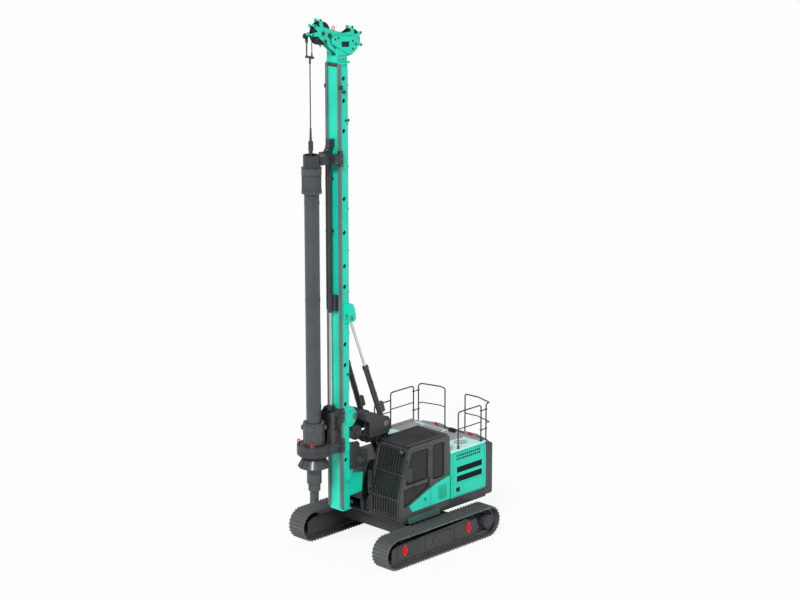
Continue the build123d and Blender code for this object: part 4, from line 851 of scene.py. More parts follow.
def cabDetail():
    seals, doorSeals, screen, wipers = Maker(), Maker(), Maker(), Maker()
    seal(seals, cab["rearSide"], cab["face"], 0.05)
    seal(seals, cab["right"], cab["inner"], 0.06)
    seal(doorSeals, cab["doorUpper"], cab["face"], 0.05)
    seal(doorSeals, cab["doorLower"], cab["face"], 0.035)
    rear = span("cab_frame")[0].x
    seals.tube(rounded([(rear, 0.32, 2.0), (rear, 1.08, 2.0), (rear, 1.08, 2.6), (rear, 0.32, 2.6)], 0.03),
               cab["seal"], 6, True)
    outer = list(cab["screen"])
    screen.prismY(outer + [(x - 0.006, z) for x, z in outer[::-1]], 0.292, 1.108)
    edge = [(x + 0.004, z) for x, z in outer]
    seals.tube([(x, 0.296, z) for x, z in edge], cab["seal"], 6)
    seals.tube([(x, 1.104, z) for x, z in edge], cab["seal"], 6)
    for y, reach in ((0.46, 0.2), (0.86, -0.14)):
        wipers.lathe((1.046, y, 1.12), forward, [(0, 0.022), (0.014, 0.018)], 16)
        wipers.tube([(1.056, y, 1.12), (1.055, y + reach * 0.6, 1.36), (1.053, y + reach, 1.45)], 0.006, 6)
        wipers.tube([(1.052, y + reach, 1.2), (1.05, y + reach, 1.49)], 0.007, 6)
    seals.finish("cabSeals", "upper_structure", "rubber", "dark_paint")
    doorSeals.box((0.02, 1.199, 1.6), (0.072, 1.206, 1.84))
    doorSeals.finish("doorSeals", "door", "rubber", "dark_paint")
    screen.finish("windscreen", "upper_structure", "glass", "clear_glass")
    wipers.finish("wipers", "upper_structure", "black", "dark_paint")


def lampDetail():
    shells, lenses, brackets = Maker(), Maker(), Maker()
    x, z = cab["lamp"]
    y, radius = 1.14, cab["lampRadius"]
    brackets.box((0.79, y - 0.02, z - 0.02), (x - 0.06, y + 0.02, z - 0.008))
    brackets.box((x - 0.075, y - 0.03, z - 0.03), (x - 0.06, y + 0.03, z + 0.03))
    shells.lathe((x - 0.065, y, z), forward, [(0, 0.03), (0.02, 0.05), (0.07, radius), (0.085, radius),
                                               (0.085, 0.054), (0.076, 0.054)], 32)
    lenses.lathe((x + 0.008, y, z), forward, [(0, 0.054), (0.006, 0.05), (0.009, 0.03)], 32)
    # Work lamp on the deck's front edge
    shells.box((0.85, -0.66, 0.955), (0.91, -0.54, 1.045))
    lenses.box((0.904, -0.65, 0.964), (0.912, -0.55, 1.036))
    brackets.box((0.87, -0.61, 0.91), (0.89, -0.59, 0.96))
    shells.finish("lampShells", "upper_structure", "black", "dark_paint", 0.003)
    lenses.finish("lampLenses", "upper_structure", "darkLens", "clear_glass", 0.002)
    brackets.finish("lampBrackets", "upper_structure", "dark", "dark_paint", 0.002)


# The back is laid out by height, lean and edge, level by level
seat = {"y": 0.7, "armrests": (0.46, 0.94), "pedals": (0.62, 0.78),
        "bellows": (1.06, 1.11, 1.16, 1.21, 1.26),
        "back": ((1.45, 0.0, 0.48), (1.6, 0.015, 0.46), (1.85, 0.045, 0.47), (1.93, 0.055, 0.52))}


def seatDetail():
    cloth, frame, grips = Maker(), Maker(), Maker()
    cloth.box((-0.32, 0.45, 1.36), (0.18, 0.95, 1.46))
    cloth.box((-0.30, 0.47, 1.44), (0.16, 0.58, 1.49))
    cloth.box((-0.30, 0.82, 1.44), (0.16, 0.93, 1.49))
    cloth.solid([[(x - lean, edge, z) for x, edge in ((-0.25, y), (-0.36, y), (-0.36, 2 * seat["y"] - y),
                                                      (-0.25, 2 * seat["y"] - y))]
                 for z, lean, y in seat["back"]])
    cloth.box((-0.425, 0.58, 1.96), (-0.33, 0.82, 2.12))
    frame.box((-0.30, 0.5, 1.0), (0.12, 0.9, 1.05))
    for z in seat["bellows"]:
        frame.box((-0.26, 0.53, z), (0.08, 0.87, z + 0.035))
    frame.box((-0.31, 0.48, 1.31), (0.15, 0.92, 1.36))
    frame.box((-0.10, 0.3, 1.0), (0.33, 0.4, 1.50))
    frame.box((0.05, 0.31, 1.50), (0.32, 0.39, 1.55))
    for y in seat["armrests"]:
        frame.box((-0.34, y - 0.02, 1.52), (0.08, y + 0.02, 1.57))
        grips.lathe((0.05, y, 1.57), (0.1, 0, 1), [(0, 0.03), (0.02, 0.024), (0.04, 0.012), (0.08, 0.015),
                                                   (0.16, 0.022), (0.18, 0.012)], 16)
    for y in seat["pedals"]:
        grips.box((0.55, y - 0.05, 1.03), (0.72, y + 0.05, 1.045), turned(-25, "Y"))
        grips.tube([(0.66, y, 1.06), (0.6, y, 1.3)], 0.012, 8)
    chair = cloth.finish("operatorSeat", "upper_structure", "fabric", "seat_fabric", 0.03)
    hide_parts("operator_seat")
    frame.finish("seatFrame", "upper_structure", "black", "dark_paint", 0.008)
    grips.finish("seatControls", "upper_structure", "rubber", "dark_paint", 0.004)


def mirrorDetail():
    glass = Maker()
    glass.prismY([(0.9225, 2.03), (0.9245, 2.03), (0.9385, 2.34), (0.9365, 2.34)], 1.29, 1.475)
    glass.box((1.1245, 0.232, 1.665), (1.1275, 0.326, 2.055))
    glass.finish("mirrorGlass", "upper_structure", "chrome", "clear_glass")


skirt = {"vent": (-0.535, -0.295), "louvres": 9, "louvreZ": 1.22, "pitch": 0.034, "clampY": (0.215, 1.171),
         "clampZ": (1.0, 1.49, 2.08, 2.66), "guardX": 1.088, "guardBend": 1.5, "guardLean": 0.2563}


def skirtDetail():
    vent, clamps = Maker(), Maker()
    y = span("cab_skirt")[1].y
    for k in range(skirt["louvres"]):
        z = skirt["louvreZ"] + k * skirt["pitch"]
        vent.prismX([(y - 0.001, z), (y + 0.003, z + 0.004), (y + 0.003, z + 0.016), (y - 0.001, z + 0.02)],
                    *skirt["vent"])
    vent.tube(rounded([(-0.55, y, 1.2), (-0.28, y, 1.2), (-0.28, y, 1.545), (-0.55, y, 1.545)], 0.03), 0.005,
              6, True)
    for y0 in skirt["clampY"]:
        for z in skirt["clampZ"]:
            x = skirt["guardX"] - max(z - skirt["guardBend"], 0) * skirt["guardLean"]
            clamps.bolt((x + 0.012, y0 + 0.01, z), forward, 0.012, 0.012)
    vent.finish("skirtVent", "upper_structure", "slat", "green_paint")
    catch = Maker()
    catch.box((0.15, y, 1.29), (0.24, y + 0.004, 1.36))
    catch.box((0.17, y + 0.003, 1.31), (0.22, y + 0.010, 1.335))
    catch.finish("skirtCatch", "door", "slat", "green_paint", 0.002)
    clamps.finish("guardClamps", "upper_structure", "zinc", "machined_steel")


print("dressing the cab")
cabDetail()
lampDetail()
seatDetail()
mirrorDetail()
skirtDetail()

# Pins of the linkage: end plates on the body that holds each pin

pinPlaces = {"armFoot": (0.20, 1.62), "armHead": (0.70, 2.74), "tieFoot": (-0.14, 1.74),
             "tieHead": (0.36, 2.86), "liftFoot": (0.78, 1.20), "liftHead": (0.51, 2.31),
             "stayFoot": (0.75, 3.20), "stayHead": (1.79, 6.00), "mastFoot": (1.56, 3.52)}
# Body, pin, half the width over the bosses, radius and depth of the end plate
pins = [("upper_structure", "armFoot", 0.175, 0.062, 0.022),
        ("upper_structure", "tieFoot", 0.175, 0.062, 0.022),
        ("upper_structure", "liftFoot", 0.085, 0.046, 0.014), ("cradle", "armHead", 0.131, 0.062, 0.014),
        ("cradle", "tieHead", 0.080, 0.06, 0.014), ("boom_arm", "liftHead", 0.130, 0.046, 0.014),
        ("cradle", "stayFoot", 0.446, 0.08, 0.016), ("mast", "mastFoot", 0.215, 0.08, 0.014),
        ("mast", "stayHead", 0.345, 0.048, 0.012)]


def pinPoint(name, y=0.0):
    x, z = pinPlaces[name]
    return Vector((x, y, z))


def pinDetail():
    makers = {body: Maker() for body in ("upper_structure", "cradle", "boom_arm", "mast")}
    for body, name, y, radius, depth in pins:
        for side in (-1, 1):
            makers[body].pinCap(pinPoint(name, side * y), (0, side, 0), radius, depth)
    for body, maker in makers.items():
        maker.finish("pinCaps." + body, body, "zinc", "machined_steel", 0.0015)


cylinders = {"lift": {"radius": 0.048, "share": 0.69},
             "stay": {"radius": 0.068, "share": 0.542, "footY": 0.342, "headY": 0.268}}


def cylinderDetail(name, body, foot, head, size, out):
    # Pipe along the barrel, its clamps, ports and the bolts of the gland
    metal, pipe = Maker(), Maker()
    out, radius = Vector(out), size["radius"]
    way = (head - foot).normalized()
    reach = (head - foot).length * size["share"]
    out = (out - way * out.dot(way)).normalized()
    near, far = foot + way * reach * 0.14, foot + way * (reach - 0.1)
    offset = out * (radius + 0.028)
    pipe.tube([near + out * radius * 0.9, near + offset, far + offset, far + out * radius * 0.9], 0.011, 8)
    for place in (near, far):
        metal.stud(place + out * radius * 0.8, out, 0.026, 0.019, radius * 0.2 + 0.022, radius * 0.2 + 0.026,
                   6)
    for k in range(1, 4):
        centre = foot + way * (0.14 * reach + (reach * 0.86 - 0.1) * k / 4)
        metal.rod(centre, way, -0.014, 0.014, radius + 0.004, 28)
        metal.rod(centre + offset, way, -0.014, 0.014, 0.018, 12)
    metal.rod(foot + way * (reach - 0.066), way, 0, 0.006, radius + 0.012, 28)
    metal.boltRing(foot + way * reach, way, radius - 0.008, 8, 0.008, 0.01)
    metal.finish(name + "Clamps", body, "dark", "dark_paint", 0.001)
    pipe.finish(name + "Pipe", body, "zinc", "machined_steel")


def linkageDetail():
    # Hoses over the arm, clamps across it, the cradle's bolts and its manifold
    hoses, metal, cradle, cradleHose = Maker(), Maker(), Maker(), Maker()
    foot, head = pinPoint("armFoot"), pinPoint("armHead")
    way = (head - foot).normalized()
    rear = Vector((-way.z, 0, way.x))
    for k in range(6):
        y = -0.06 + k * 0.024
        line = [foot + way * along + rear * drop + Vector((0, y, 0))
                for along, drop in ((0.18, 0.03), (0.3, 0.085 + (k % 2) * 0.012), (0.6, 0.09), (0.9, 0.085),
                                    (1.06, 0.03))]
        hoses.tube(curved(line, 5), 0.0105, 7)
    for along in (0.36, 0.62, 0.88):
        place = foot + way * along
        metal.box(place + Vector((-0.012, -0.128, 0.012)) + rear * 0.1,
                  place + Vector((0.012, 0.128, 0.03)) + rear * 0.1,
                  Matrix.Rotation(-math.atan2(way.x, way.z), 3, "Y").inverted())
    for side in (-1, 1):
        for x in (0.80, 0.95, 1.10):
            cradle.boltRow((x, side * 0.272, 2.966), (x, side * 0.405, 2.966), 3, upward, 0.012, 0.014)
        for z in (3.44, 3.50):
            cradle.boltRow((1.401, side * 0.27, z), (1.401, side * 0.40, z), 3, forward, 0.012, 0.012)
        cradle.box((0.90, side * 0.31 - 0.045, 2.966), (1.12, side * 0.31 + 0.045, 3.02))
        cradle.lathe(pinPoint("stayFoot", side * 0.4325), (0, side, 0), [(0, 0.165), (0.006, 0.165),
                                                                         (0.01, 0.155), (0.01, 0.12),
                                                                         (0.012, 0.118)], 44)
        cradle.boltRing(pinPoint("stayFoot", side * 0.442), (0, side, 0), 0.138, 12, 0.010, 0.008)
        for k in range(4):
            y = side * (0.285 + k * 0.022)
            cradleHose.tube(curved([(0.93 + k * 0.05, side * 0.31, 3.02), (0.95 + k * 0.05, y, 3.12),
                                    (1.1 + k * 0.03, y, 3.22),
                                    (1.24, y, 3.3), (1.32, y, 3.4)], 5), 0.011, 7)
    hoses.finish("armHoses", "boom_arm", "hose", "dark_paint")
    metal.finish("armClamps", "boom_arm", "zinc", "machined_steel", 0.002)
    cradle.finish("cradleBolts", "cradle", "dark", "dark_paint", 0.002)
    cradleHose.finish("cradleHoses", "cradle", "hose", "dark_paint")


print("dressing the linkage")
pinDetail()
cylinderDetail("lift", "lift_cylinder", pinPoint("liftFoot"), pinPoint("liftHead"), cylinders["lift"],
               forward)
stay = cylinders["stay"]
for side, word in ((1, "left"), (-1, "right")):
    foot, head = pinPoint("stayFoot", side * stay["footY"]), pinPoint("stayHead", side * stay["headY"])
    cylinderDetail("stay." + word, "stay_barrel_" + word, foot, head, stay, (0, side, 0))
linkageDetail()

# Mast: rims of the round holes, bolts of flanges and guides, pipes and hoses down its side

mast = {"rear": 1.745, "front": 2.0, "half": 0.2, "top": 12.05, "holeX": 1.8725, "holeRim": 0.053,
        "holes": (2.494, 3.878, 4.843, 5.352, 6.749, 7.245, 8.044, 8.852, 10.45, 11.153, 11.669),
        "guideFace": 0.235, "guideStep": 0.4, "combs": ((1.97, 2.19), (2.69, 2.90), (3.28, 3.32)),
        "seams": (4.30, 7.62, 9.70), "pipeClamps": (4.6, 5.6, 6.6, 7.6, 8.6, 9.6, 10.6, 11.5),
        "brackets": ((1.83, 1.93, 11.34), (1.715, 1.84, 10.67), (1.715, 1.82, 6.05), (1.715, 1.82, 4.58))}


def combOutline(low, high):
    # Side plate with teeth that stand out behind the mast
    line = [(1.80, low), (1.80, high)]
    z = high
    while z > low + 0.02:
        line += [(1.637, z), (1.637, z - 0.024), (1.70, z - 0.024), (1.70, max(z - 0.052, low))]
        z -= 0.052
    return line


def mastDetail():
    rims, bolts, hoses, clamps, pipes = Maker(), Maker(), Maker(), Maker(), Maker()
    for side in (-1, 1):
        for z in mast["holes"]:
            rims.hoop((mast["holeX"], side * mast["half"], z), sideways, mast["holeRim"], 0.0045, 32)
        z = 5.8  # above the carriage's stroke
        while z < mast["top"] - 0.1:
            bolts.bolt((2.015, side * mast["guideFace"], z), (0, side, 0), 0.011, 0.0025)
            z += mast["guideStep"]
        bolts.boltRow((1.735, side * 0.224, mast["top"]), (1.955, side * 0.224, mast["top"]), 4, upward,
                      0.013, 0.02)
        bolts.sideRow(side, (1.76, 0.2, 1.26), (1.95, 0.2, 1.26), 4, 0.011, 0.012)
        bolts.sideRow(side, (1.78, 0.218, 1.97), (1.94, 0.218, 1.97), 4, 0.009, 0.01)
        for z in (3.36, 3.68):
            bolts.sideRow(side, (1.64, 0.198, z), (1.72, 0.198, z), 2, 0.012, 0.012)
        # Cross seams where the mast's plates meet
        for z in mast["seams"]:
            rims.box((mast["rear"] - 0.002, side * 0.199, z - 0.005),
                     (mast["front"] - 0.001, side * 0.2022, z + 0.005))
    # Hoses and pipes down the mast's back
    for k in range(6):
        y = -0.075 + k * 0.03
        hoses.tube(curved([(1.70, y, 3.36), (1.715, y, 3.9), (1.727, y, 4.6), (1.727, y, 6.2),
                           (1.73, y, 8.0),
                           (1.74, y * 0.6, 8.35)], 6), 0.0115, 7)
    z = 4.4
    while z < 8.0:
        clamps.box((1.712, -0.1, z - 0.02), (1.747, 0.1, z + 0.02))
        clamps.boltRow((1.712, -0.088, z), (1.712, 0.088, z), 2, (-1, 0, 0), 0.007, 0.008)
        z += 0.58
    for y in (-0.185, 0.185):
        pipes.tube([(1.735, y, 4.2), (1.735, y, 11.9)], 0.010, 8)
        for z in mast["pipeClamps"]:
            clamps.box((1.722, y - 0.02, z - 0.014), (1.747, y + 0.02, z + 0.014))
    for side in (-1, 1):
        for low, high in mast["combs"]:
            rims.prismY(combOutline(low, high), side * 0.1995, side * 0.213)
            bolts.sideRow(side, (1.775, 0.213, low + 0.03), (1.775, 0.213, high - 0.03), 2, 0.009, 0.009)
        clamps.box((1.95, side * 0.2, 11.43), (2.045, side * 0.262, 11.52))
        clamps.stud((2.0, side * 0.262, 11.475), (0, side, 0), 0.03, 0.02, 0.012, 0.016, 16)
        for x0, x1, z in mast["brackets"]:
            clamps.box((x0, side * 0.199, z), (x1, side * 0.235, z + 0.03))
            clamps.box((x0, side * 0.199, z - 0.02), (x0 + 0.014, side * 0.228, z + 0.05))
    clamps.box((1.999, -0.199, 11.94), (2.018, 0.199, 12.012))
    rims.box((1.999, -0.199, 11.885), (2.010, 0.199, 11.94))
    rims.finish("mastRims", "mast", "green", "green_paint")
    bolts.finish("mastBolts", "mast", "zinc", "machined_steel")
    hoses.finish("mastHoses", "mast", "hose", "dark_paint")
    clamps.finish("mastClamps", "mast", "dark", "dark_paint", 0.002)
    pipes.finish("mastPipes", "mast", "zinc", "machined_steel")


crowd = {"x": 2.118, "y": -0.03, "bands": (6.44, 8.05, 9.30), "foot": 6.14}


def crowdDetail():
    bands, fittings = Maker(), Maker()
    x, y, foot = crowd["x"], crowd["y"], crowd["foot"]
    for z in crowd["bands"]:
        bands.rod((x, y, z + 0.03), upward, -0.03, 0.03, 0.053, 32)
        bands.rod((x - 0.02, y - 0.105, z + 0.03), upward, -0.024, 0.024, 0.043, 24)
        for height in (z + 0.012, z + 0.048):
            fittings.bolt((x + 0.045, y, height), forward, 0.009, 0.016)
    bands.rod((x, y, foot), upward, 0.004, 0.02, 0.06, 32)
    fittings.boltRing((x, y, foot), (0, 0, -1), 0.049, 8, 0.007, 0.008)
    fittings.lathe((x + 0.02, y, 10.02), forward, [(0, 0.03), (0.045, 0.03), (0.05, 0.02), (0.07, 0.018)],
                   12)
    for height in (10.12, 10.22):
        fittings.boltRow((2.178, y - 0.04, height), (2.178, y + 0.04, height), 2, forward, 0.011, 0.012)
    bands.finish("crowdBands", "mast", "dark", "dark_paint", 0.002)
    fittings.finish("crowdFittings", "mast", "zinc", "machined_steel")


# Centre of each sheave and the angles of the cheeks' arms round it
sheaveHubs = {"front_sheave": ((2.460, 12.765), (0, 40, 80)),
              "rear_sheave": ((1.512, 12.500), (90, 150, 205))}

cheeks = {"faces": ((0.14, 1), (-0.06, -1)), "arm": 0.308, "outer": 0.196,
          "pins": ((2.12, 12.60), (2.02, 12.62), (1.56, 12.50), (1.46, 12.42), (1.56, 12.32)),
          "window": ((1.665, 12.37), (1.93, 12.40), (1.93, 12.535), (1.665, 12.505)),
          "bosses": ((2.25, 12.695, 0.056), (2.385, 12.585, 0.036))}


def headDetail():
    caps, bolts, pulley, rims, dark, red, struts = (Maker() for k in range(7))
    for (x, z), angles in sheaveHubs.values():
        for y, side in cheeks["faces"]:
            caps.lathe((x, y + side * 0.012, z), (0, side, 0), [(0, 0.05), (0.008, 0.05), (0.01, 0.036),
                                                                (0.016, 0.033)], 28)
            rims.stud((x, y, z), (0, side, 0), 0.1, 0.092, 0.008, 0.01, 36)
            bolts.boltRing((x, y + side * 0.009, z), (0, side, 0), 0.076, 8, 0.008, 0.008)
            for angle in angles:
                caps.stud(Vector((x, y, z)) + spoke(angle) * cheeks["arm"], (0, side, 0), 0.022, 0.016, 0.01,
                          0.014, 20)
    for side in (-1, 1):
        for x, z in cheeks["pins"]:
            caps.stud((x, side * cheeks["outer"], z), (0, side, 0), 0.026, 0.017, 0.008, 0.014, 20)
        window = cheeks["window"]
        dark.prismY(window, side * 0.171, side * 0.176)
        rims.tube(rounded([(x, side * cheeks["outer"], z) for x, z in window], 0.03), 0.006, 6, True)
    # Red lifting eye between the sheaves
    red.stud((2.12, 0.126, 12.755), upward, 0.024, 0.014, 0.025, 0.055, 20)
    red.hoop((2.12, 0.126, 12.85), (0.05, 1, 0), 0.04, 0.012, 28, 8)
    for y0, side in cheeks["faces"]:
        for x, z, radius in cheeks["bosses"]:
            struts.stud((x, y0, z), (0, side, 0), radius, radius * 0.8, 0.022, 0.026, 28)
            struts.rod((x, y0 + side * 0.026, z), (0, side, 0), 0, 0.01, radius * 0.4, 6)
        struts.tube([(2.385, y0 + side * 0.012, 12.585), (2.335, y0 + side * 0.012, 12.42)], 0.016, 10)
        struts.tube([(2.25, y0 + side * 0.012, 12.695), (2.20, y0 + side * 0.012, 12.52),
                     (2.08, y0 + side * 0.012, 12.38)], 0.013, 10)
    for side in (-1, 1):
        bolts.sideRow(side, (1.76, 0.17, 12.12), (2.0, 0.17, 12.12), 4, 0.013, 0.014)
        bolts.sideRow(side, (1.76, 0.17, 12.2), (2.0, 0.17, 12.2), 4, 0.013, 0.014)
    # Small pulley at the nose of the fixed end's arm
    hub = Vector((2.775, -0.102, 12.715))
    pulley.lathe(hub, sideways, [(-0.022, 0.065), (-0.012, 0.065), (-0.004, 0.052), (0.004, 0.052),
                                 (0.012, 0.065), (0.022, 0.065)], 28)
    for y in (-0.142, -0.062):
        pulley.prismY([(2.70, 12.69), (2.72, 12.765), (2.80, 12.75), (2.81, 12.70), (2.78, 12.68)],
                      y - 0.005, y + 0.005)
    pulley.rod(hub, sideways, -0.052, 0.052, 0.016, 12)
    caps.finish("sheaveCaps", "mast", "dark", "dark_paint", 0.0015)
    rims.finish("cheekRims", "mast", "green", "green_paint", 0.001)
    dark.finish("cheekShade", "mast", "black", "dark_paint")
    struts.finish("headStruts", "mast", "dark", "dark_paint", 0.001)
    red.finish("headEye", "mast", "red", "red_paint", 0.001)
    bolts.finish("headBolts", "mast", "zinc", "machined_steel")
    pulley.finish("smallPulley", "mast", "dark", "dark_paint", 0.001)


def sheaveDetail(name, x, z):
    ribs = Maker()
    for side in (-1, 1):
        face = 0.04 + side * 0.062
        ribs.hoop((x, face - side * 0.002, z), sideways, 0.228, 0.005, 40)
        ribs.hoop((x, face - side * 0.002, z), sideways, 0.095, 0.005, 32)
        for a, b in ringOf(6, 1.0, 0.3):
            ribs.lathe((x + a * 0.16, face - side * 0.001, z + b * 0.16), (0, side, 0),
                       [(0, 0.036), (0.002, 0.034)], 20)
    ribs.finish(name + "Ribs", name, "dark", "dark_paint")


print("dressing the mast")
mastDetail()
crowdDetail()
headDetail()
for name, ((x, z), angles) in sheaveHubs.items():
    sheaveDetail(name, x, z)

# Winches: rope on the drums, gear ends with their bolts

winches = {"main": {"body": "main_drum", "hub": (1.45, 2.42), "flange": 0.27, "half": 0.25, "mount": 0.31,
                    "boss": 0.11},
           "aux": {"body": "aux_drum", "hub": (1.53, 3.10), "flange": 0.185, "half": 0.215, "mount": 0.275,
                   "boss": 0.085}}


def winchDetail(word, winch):
    rope, ends, bolts, rims = Maker(), Maker(), Maker(), Maker()
    x, z = winch["hub"]
    barrel = winch["flange"] * 0.72
    inner = winch["half"] - 0.025
    wire, pitch = 0.013, 0.0265
    turns = int(2 * (inner - wire) / pitch)
    for layer in range(2):
        for k in range(turns - layer):
            y = (k - (turns - layer - 1) / 2) * pitch
            rope.hoop((x, y, z), sideways, barrel + wire * (0.9 + layer * 1.75), wire, 36)
    for side in (-1, 1):
        rims.boltRing((x, side * (winch["half"] - 0.001), z), (0, side, 0), winch["flange"] * 0.62, 10,
                      0.009, 0.004)
        face = side * winch["mount"]
        ends.lathe((x, face, z), (0, side, 0), [(0, winch["boss"] * 0.95), (0.012, winch["boss"] * 0.95),
                                                (0.014, winch["boss"] * 0.7), (0.04, winch["boss"] * 0.62)],
                   32)
        bolts.boltRing((x, face + side * 0.012, z), (0, side, 0), winch["boss"] * 0.84, 12, 0.008, 0.009)
        for angle in (35, 90, 145):
            place = Vector((x, 0, z)) + spoke(angle) * (winch["flange"] + 0.024)
            ends.tube([place + Vector((0, -winch["mount"] + 0.03, 0)),
                       place + Vector((0, winch["mount"] - 0.03, 0))], 0.013, 10)
        if side > 0:
            ends.lathe((x, face + 0.04, z), sideways, [(0, winch["boss"] * 0.5), (0.05, winch["boss"] * 0.5),
                                                       (0.056, winch["boss"] * 0.4)], 24)
    rope.finish(word + "Winding", winch["body"], "rope", "rope_steel")
    rims.finish(word + "DrumBolts", winch["body"], "zinc", "machined_steel")
    ends.finish(word + "WinchEnds", "mast", "dark", "dark_paint", 0.002)
    bolts.finish(word + "WinchBolts", "mast", "zinc", "machined_steel")


def winchBoxDetail():
    bolts = Maker()
    low, high = span("winch_box")
    for side in (-1, 1):
        for z in (low.z + 0.05, high.z - 0.04):
            bolts.sideRow(side, (1.42, mast["half"], z), (1.68, mast["half"], z), 3, 0.009, 0.008)
    bolts.finish("winchBoxBolts", "mast", "zinc", "machined_steel")


print("dressing the winches")
for word, winch in winches.items():
    winchDetail(word, winch)
winchBoxDetail()

# Rotary head: gearbox and shoe bolts, motor ports and hoses, rings of the sleeve

rotary = {"x": 2.72, "ropeY": -0.015, "top": 3.05, "motors": (2.42, 0.328), "bolts": 24, "ring": 0.375,
          "rib": ((2.09, 3.60), (2.20, 3.50), (2.31, 3.42), (2.39, 3.32), (2.43, 3.20), (2.44, 3.08))}


def ribbon(maker, path, half, y0, y1):
    # Flat bar of one width along a line of points in the upright plane
    path = [Vector((x, 0, z)) for x, z in path]
    edges = []
    for i, point in enumerate(path):
        way = heading(path, i)
        edges.append((point, Vector((-way.z, 0, way.x)) * half))
    line = [p + out for p, out in edges] + [p - out for p, out in edges[::-1]]
    maker.prismY([(p.x, p.z) for p in line], y0, y1)


def rotaryDetail():
    bolts, dark, hoses, ports = Maker(), Maker(), Maker(), Maker()
    x, top = rotary["x"], rotary["top"]
    bolts.boltRing((x, 0, top), upward, rotary["ring"], rotary["bolts"], 0.013, 0.018, 0.13)
    dark.hoop((x, 0, top + 0.001), upward, 0.345, 0.004, 48)
    dark.hoop((x, 0, 2.90), upward, 0.4055, 0.005, 56)
    mx, my = rotary["motors"]
    for side in (-1, 1):
        y = side * my
        dark.stud((mx, y, top), upward, 0.074, 0.06, 0.03, 0.04, 28)
        bolts.boltRing((mx, y, top + 0.03), upward, 0.064, 8, 0.008, 0.01)
        for z in (3.18, 3.30):
            dark.hoop((mx, y, z), upward, 0.078, 0.004, 32)
        bolts.boltRing((mx, y, 3.38), upward, 0.069, 8, 0.007, 0.008)
        dark.box((mx - 0.11, y - 0.035, 3.25), (mx - 0.06, y + 0.035, 3.37))
        for k, drop in enumerate((0.0, 0.045, 0.09)):
            start = Vector((mx - 0.11, y, 3.345 - drop))
            ports.lathe(start, (-1, 0, 0), [(0, 0.018), (0.014, 0.018), (0.016, 0.012), (0.04, 0.012)], 6)
            hoses.tube(curved([start + Vector((-0.035, 0, 0)), start + Vector((-0.09, -side * 0.01, 0.06)),
                               Vector((mx - 0.17, side * (my - 0.04), 3.55)),
                               Vector((2.2, side * (0.262 - k * 0.014), 3.70)),
                               Vector((2.12, side * (0.2 - k * 0.03), 3.80))], 6), 0.013, 8)
        dark.lathe((mx, y, 3.47), upward, [(0, 0.07), (0.05, 0.07), (0.06, 0.054), (0.28, 0.054),
                                           (0.29, 0.066),
                                              (0.33, 0.066), (0.345, 0.045)], 28)
        bolts.boltRing((mx, y, 3.80), upward, 0.054, 6, 0.007, 0.008)
        for height in (3.58, 3.66):
            dark.hoop((mx, y, height), upward, 0.056, 0.004, 28)
        ribbon(dark, rotary["rib"], 0.026, side * 0.239, side * 0.262)
        ribbon(dark, [(2.10, 2.80), (2.10, 3.74)], 0.018, side * 0.239, side * 0.256)
        for height in (3.12, 3.36):
            ribbon(dark, [(2.10, height), (2.34, height)], 0.012, side * 0.239, side * 0.252)
        for low in (2.73, 3.47):
            for z in (low + 0.04, low + 0.165, low + 0.29):
                bolts.sideRow(side, (1.985, 0.267, z), (2.04, 0.267, z), 2, 0.011, 0.010)
        bolts.sideRow(side, (2.12, 0.24, 2.90), (2.44, 0.24, 2.90), 4, 0.012, 0.012)
    bolts.boltRow((2.095, -0.19, 2.86), (2.095, 0.19, 2.86), 5, forward, 0.011, 0.01)
    # Grease bank on the left cheek
    dark.box((2.16, 0.24, 3.30), (2.28, 0.275, 3.42))
    for k in range(5):
        z = 3.32 + k * 0.02
        ports.lathe((2.175 + k * 0.022, 0.275, z), sideways, [(0, 0.006), (0.012, 0.005)], 8)
    bolts.finish("rotaryBolts", "rotary_head", "zinc", "machined_steel")
    dark.finish("rotaryRims", "rotary_head", "dark", "dark_paint", 0.0015)
    hoses.finish("rotaryHoses", "rotary_head", "hose", "dark_paint")
    ports.finish("rotaryPorts", "rotary_head", "brass", "machined_steel")


# Rings are given by height, radius, wire and count
sleeve = {"rings": ((3.37, 0.258, 0.006, 48), (3.54, 0.258, 0.006, 48), (3.588, 0.248, 0.006, 48),
                    (2.506, 0.37, 0.005, 56)),
          "gusset": ((0.21, 2.50), (0.385, 2.50), (0.385, 2.52), (0.262, 2.742), (0.21, 2.742)),
          "lug": ((0.255, 3.40), (0.30, 3.42), (0.30, 3.50), (0.255, 3.52))}


def finRing(maker, x, count, start, shape, half):
    # Upright plates set round the turning axis
    for k in range(count):
        turn = turned(360 / count * k + start)
        maker.solid([[turn @ Vector((a, w, z)) + Vector((x, 0, 0)) for a, z in shape]
                     for w in (-half, half)])


def sleeveDetail():
    rings, bolts = Maker(), Maker()
    x = rotary["x"]
    for z, radius, wire, count in sleeve["rings"]:
        rings.hoop((x, 0, z), upward, radius, wire, count)
    bolts.boltRing((x, 0, 3.59), upward, 0.225, 16, 0.009, 0.012)
    for a, b in ringOf(12, 0.262):
        bolts.bolt((x + a, b, 3.455), (a, b, 0), 0.011, 0.009)
    # Gussets down the flared skirt, lugs round the top ring
    finRing(rings, x, 12, 15, sleeve["gusset"], 0.009)
    finRing(rings, x, 4, 45, sleeve["lug"], 0.035)
    rings.finish("sleeveRings", "sleeve", "kelly", "dark_paint")
    bolts.finish("sleeveBolts", "sleeve", "zinc", "machined_steel")


kelly = {"rings": ((2.12, 0.1755, 40), (2.2, 0.1755, 40), (9.10, 0.2355, 48), (9.54, 0.2355, 48),
                   (9.69, 0.2355, 48)), "plates": (3.9, 6.5, 8.8), "collar": 9.17}


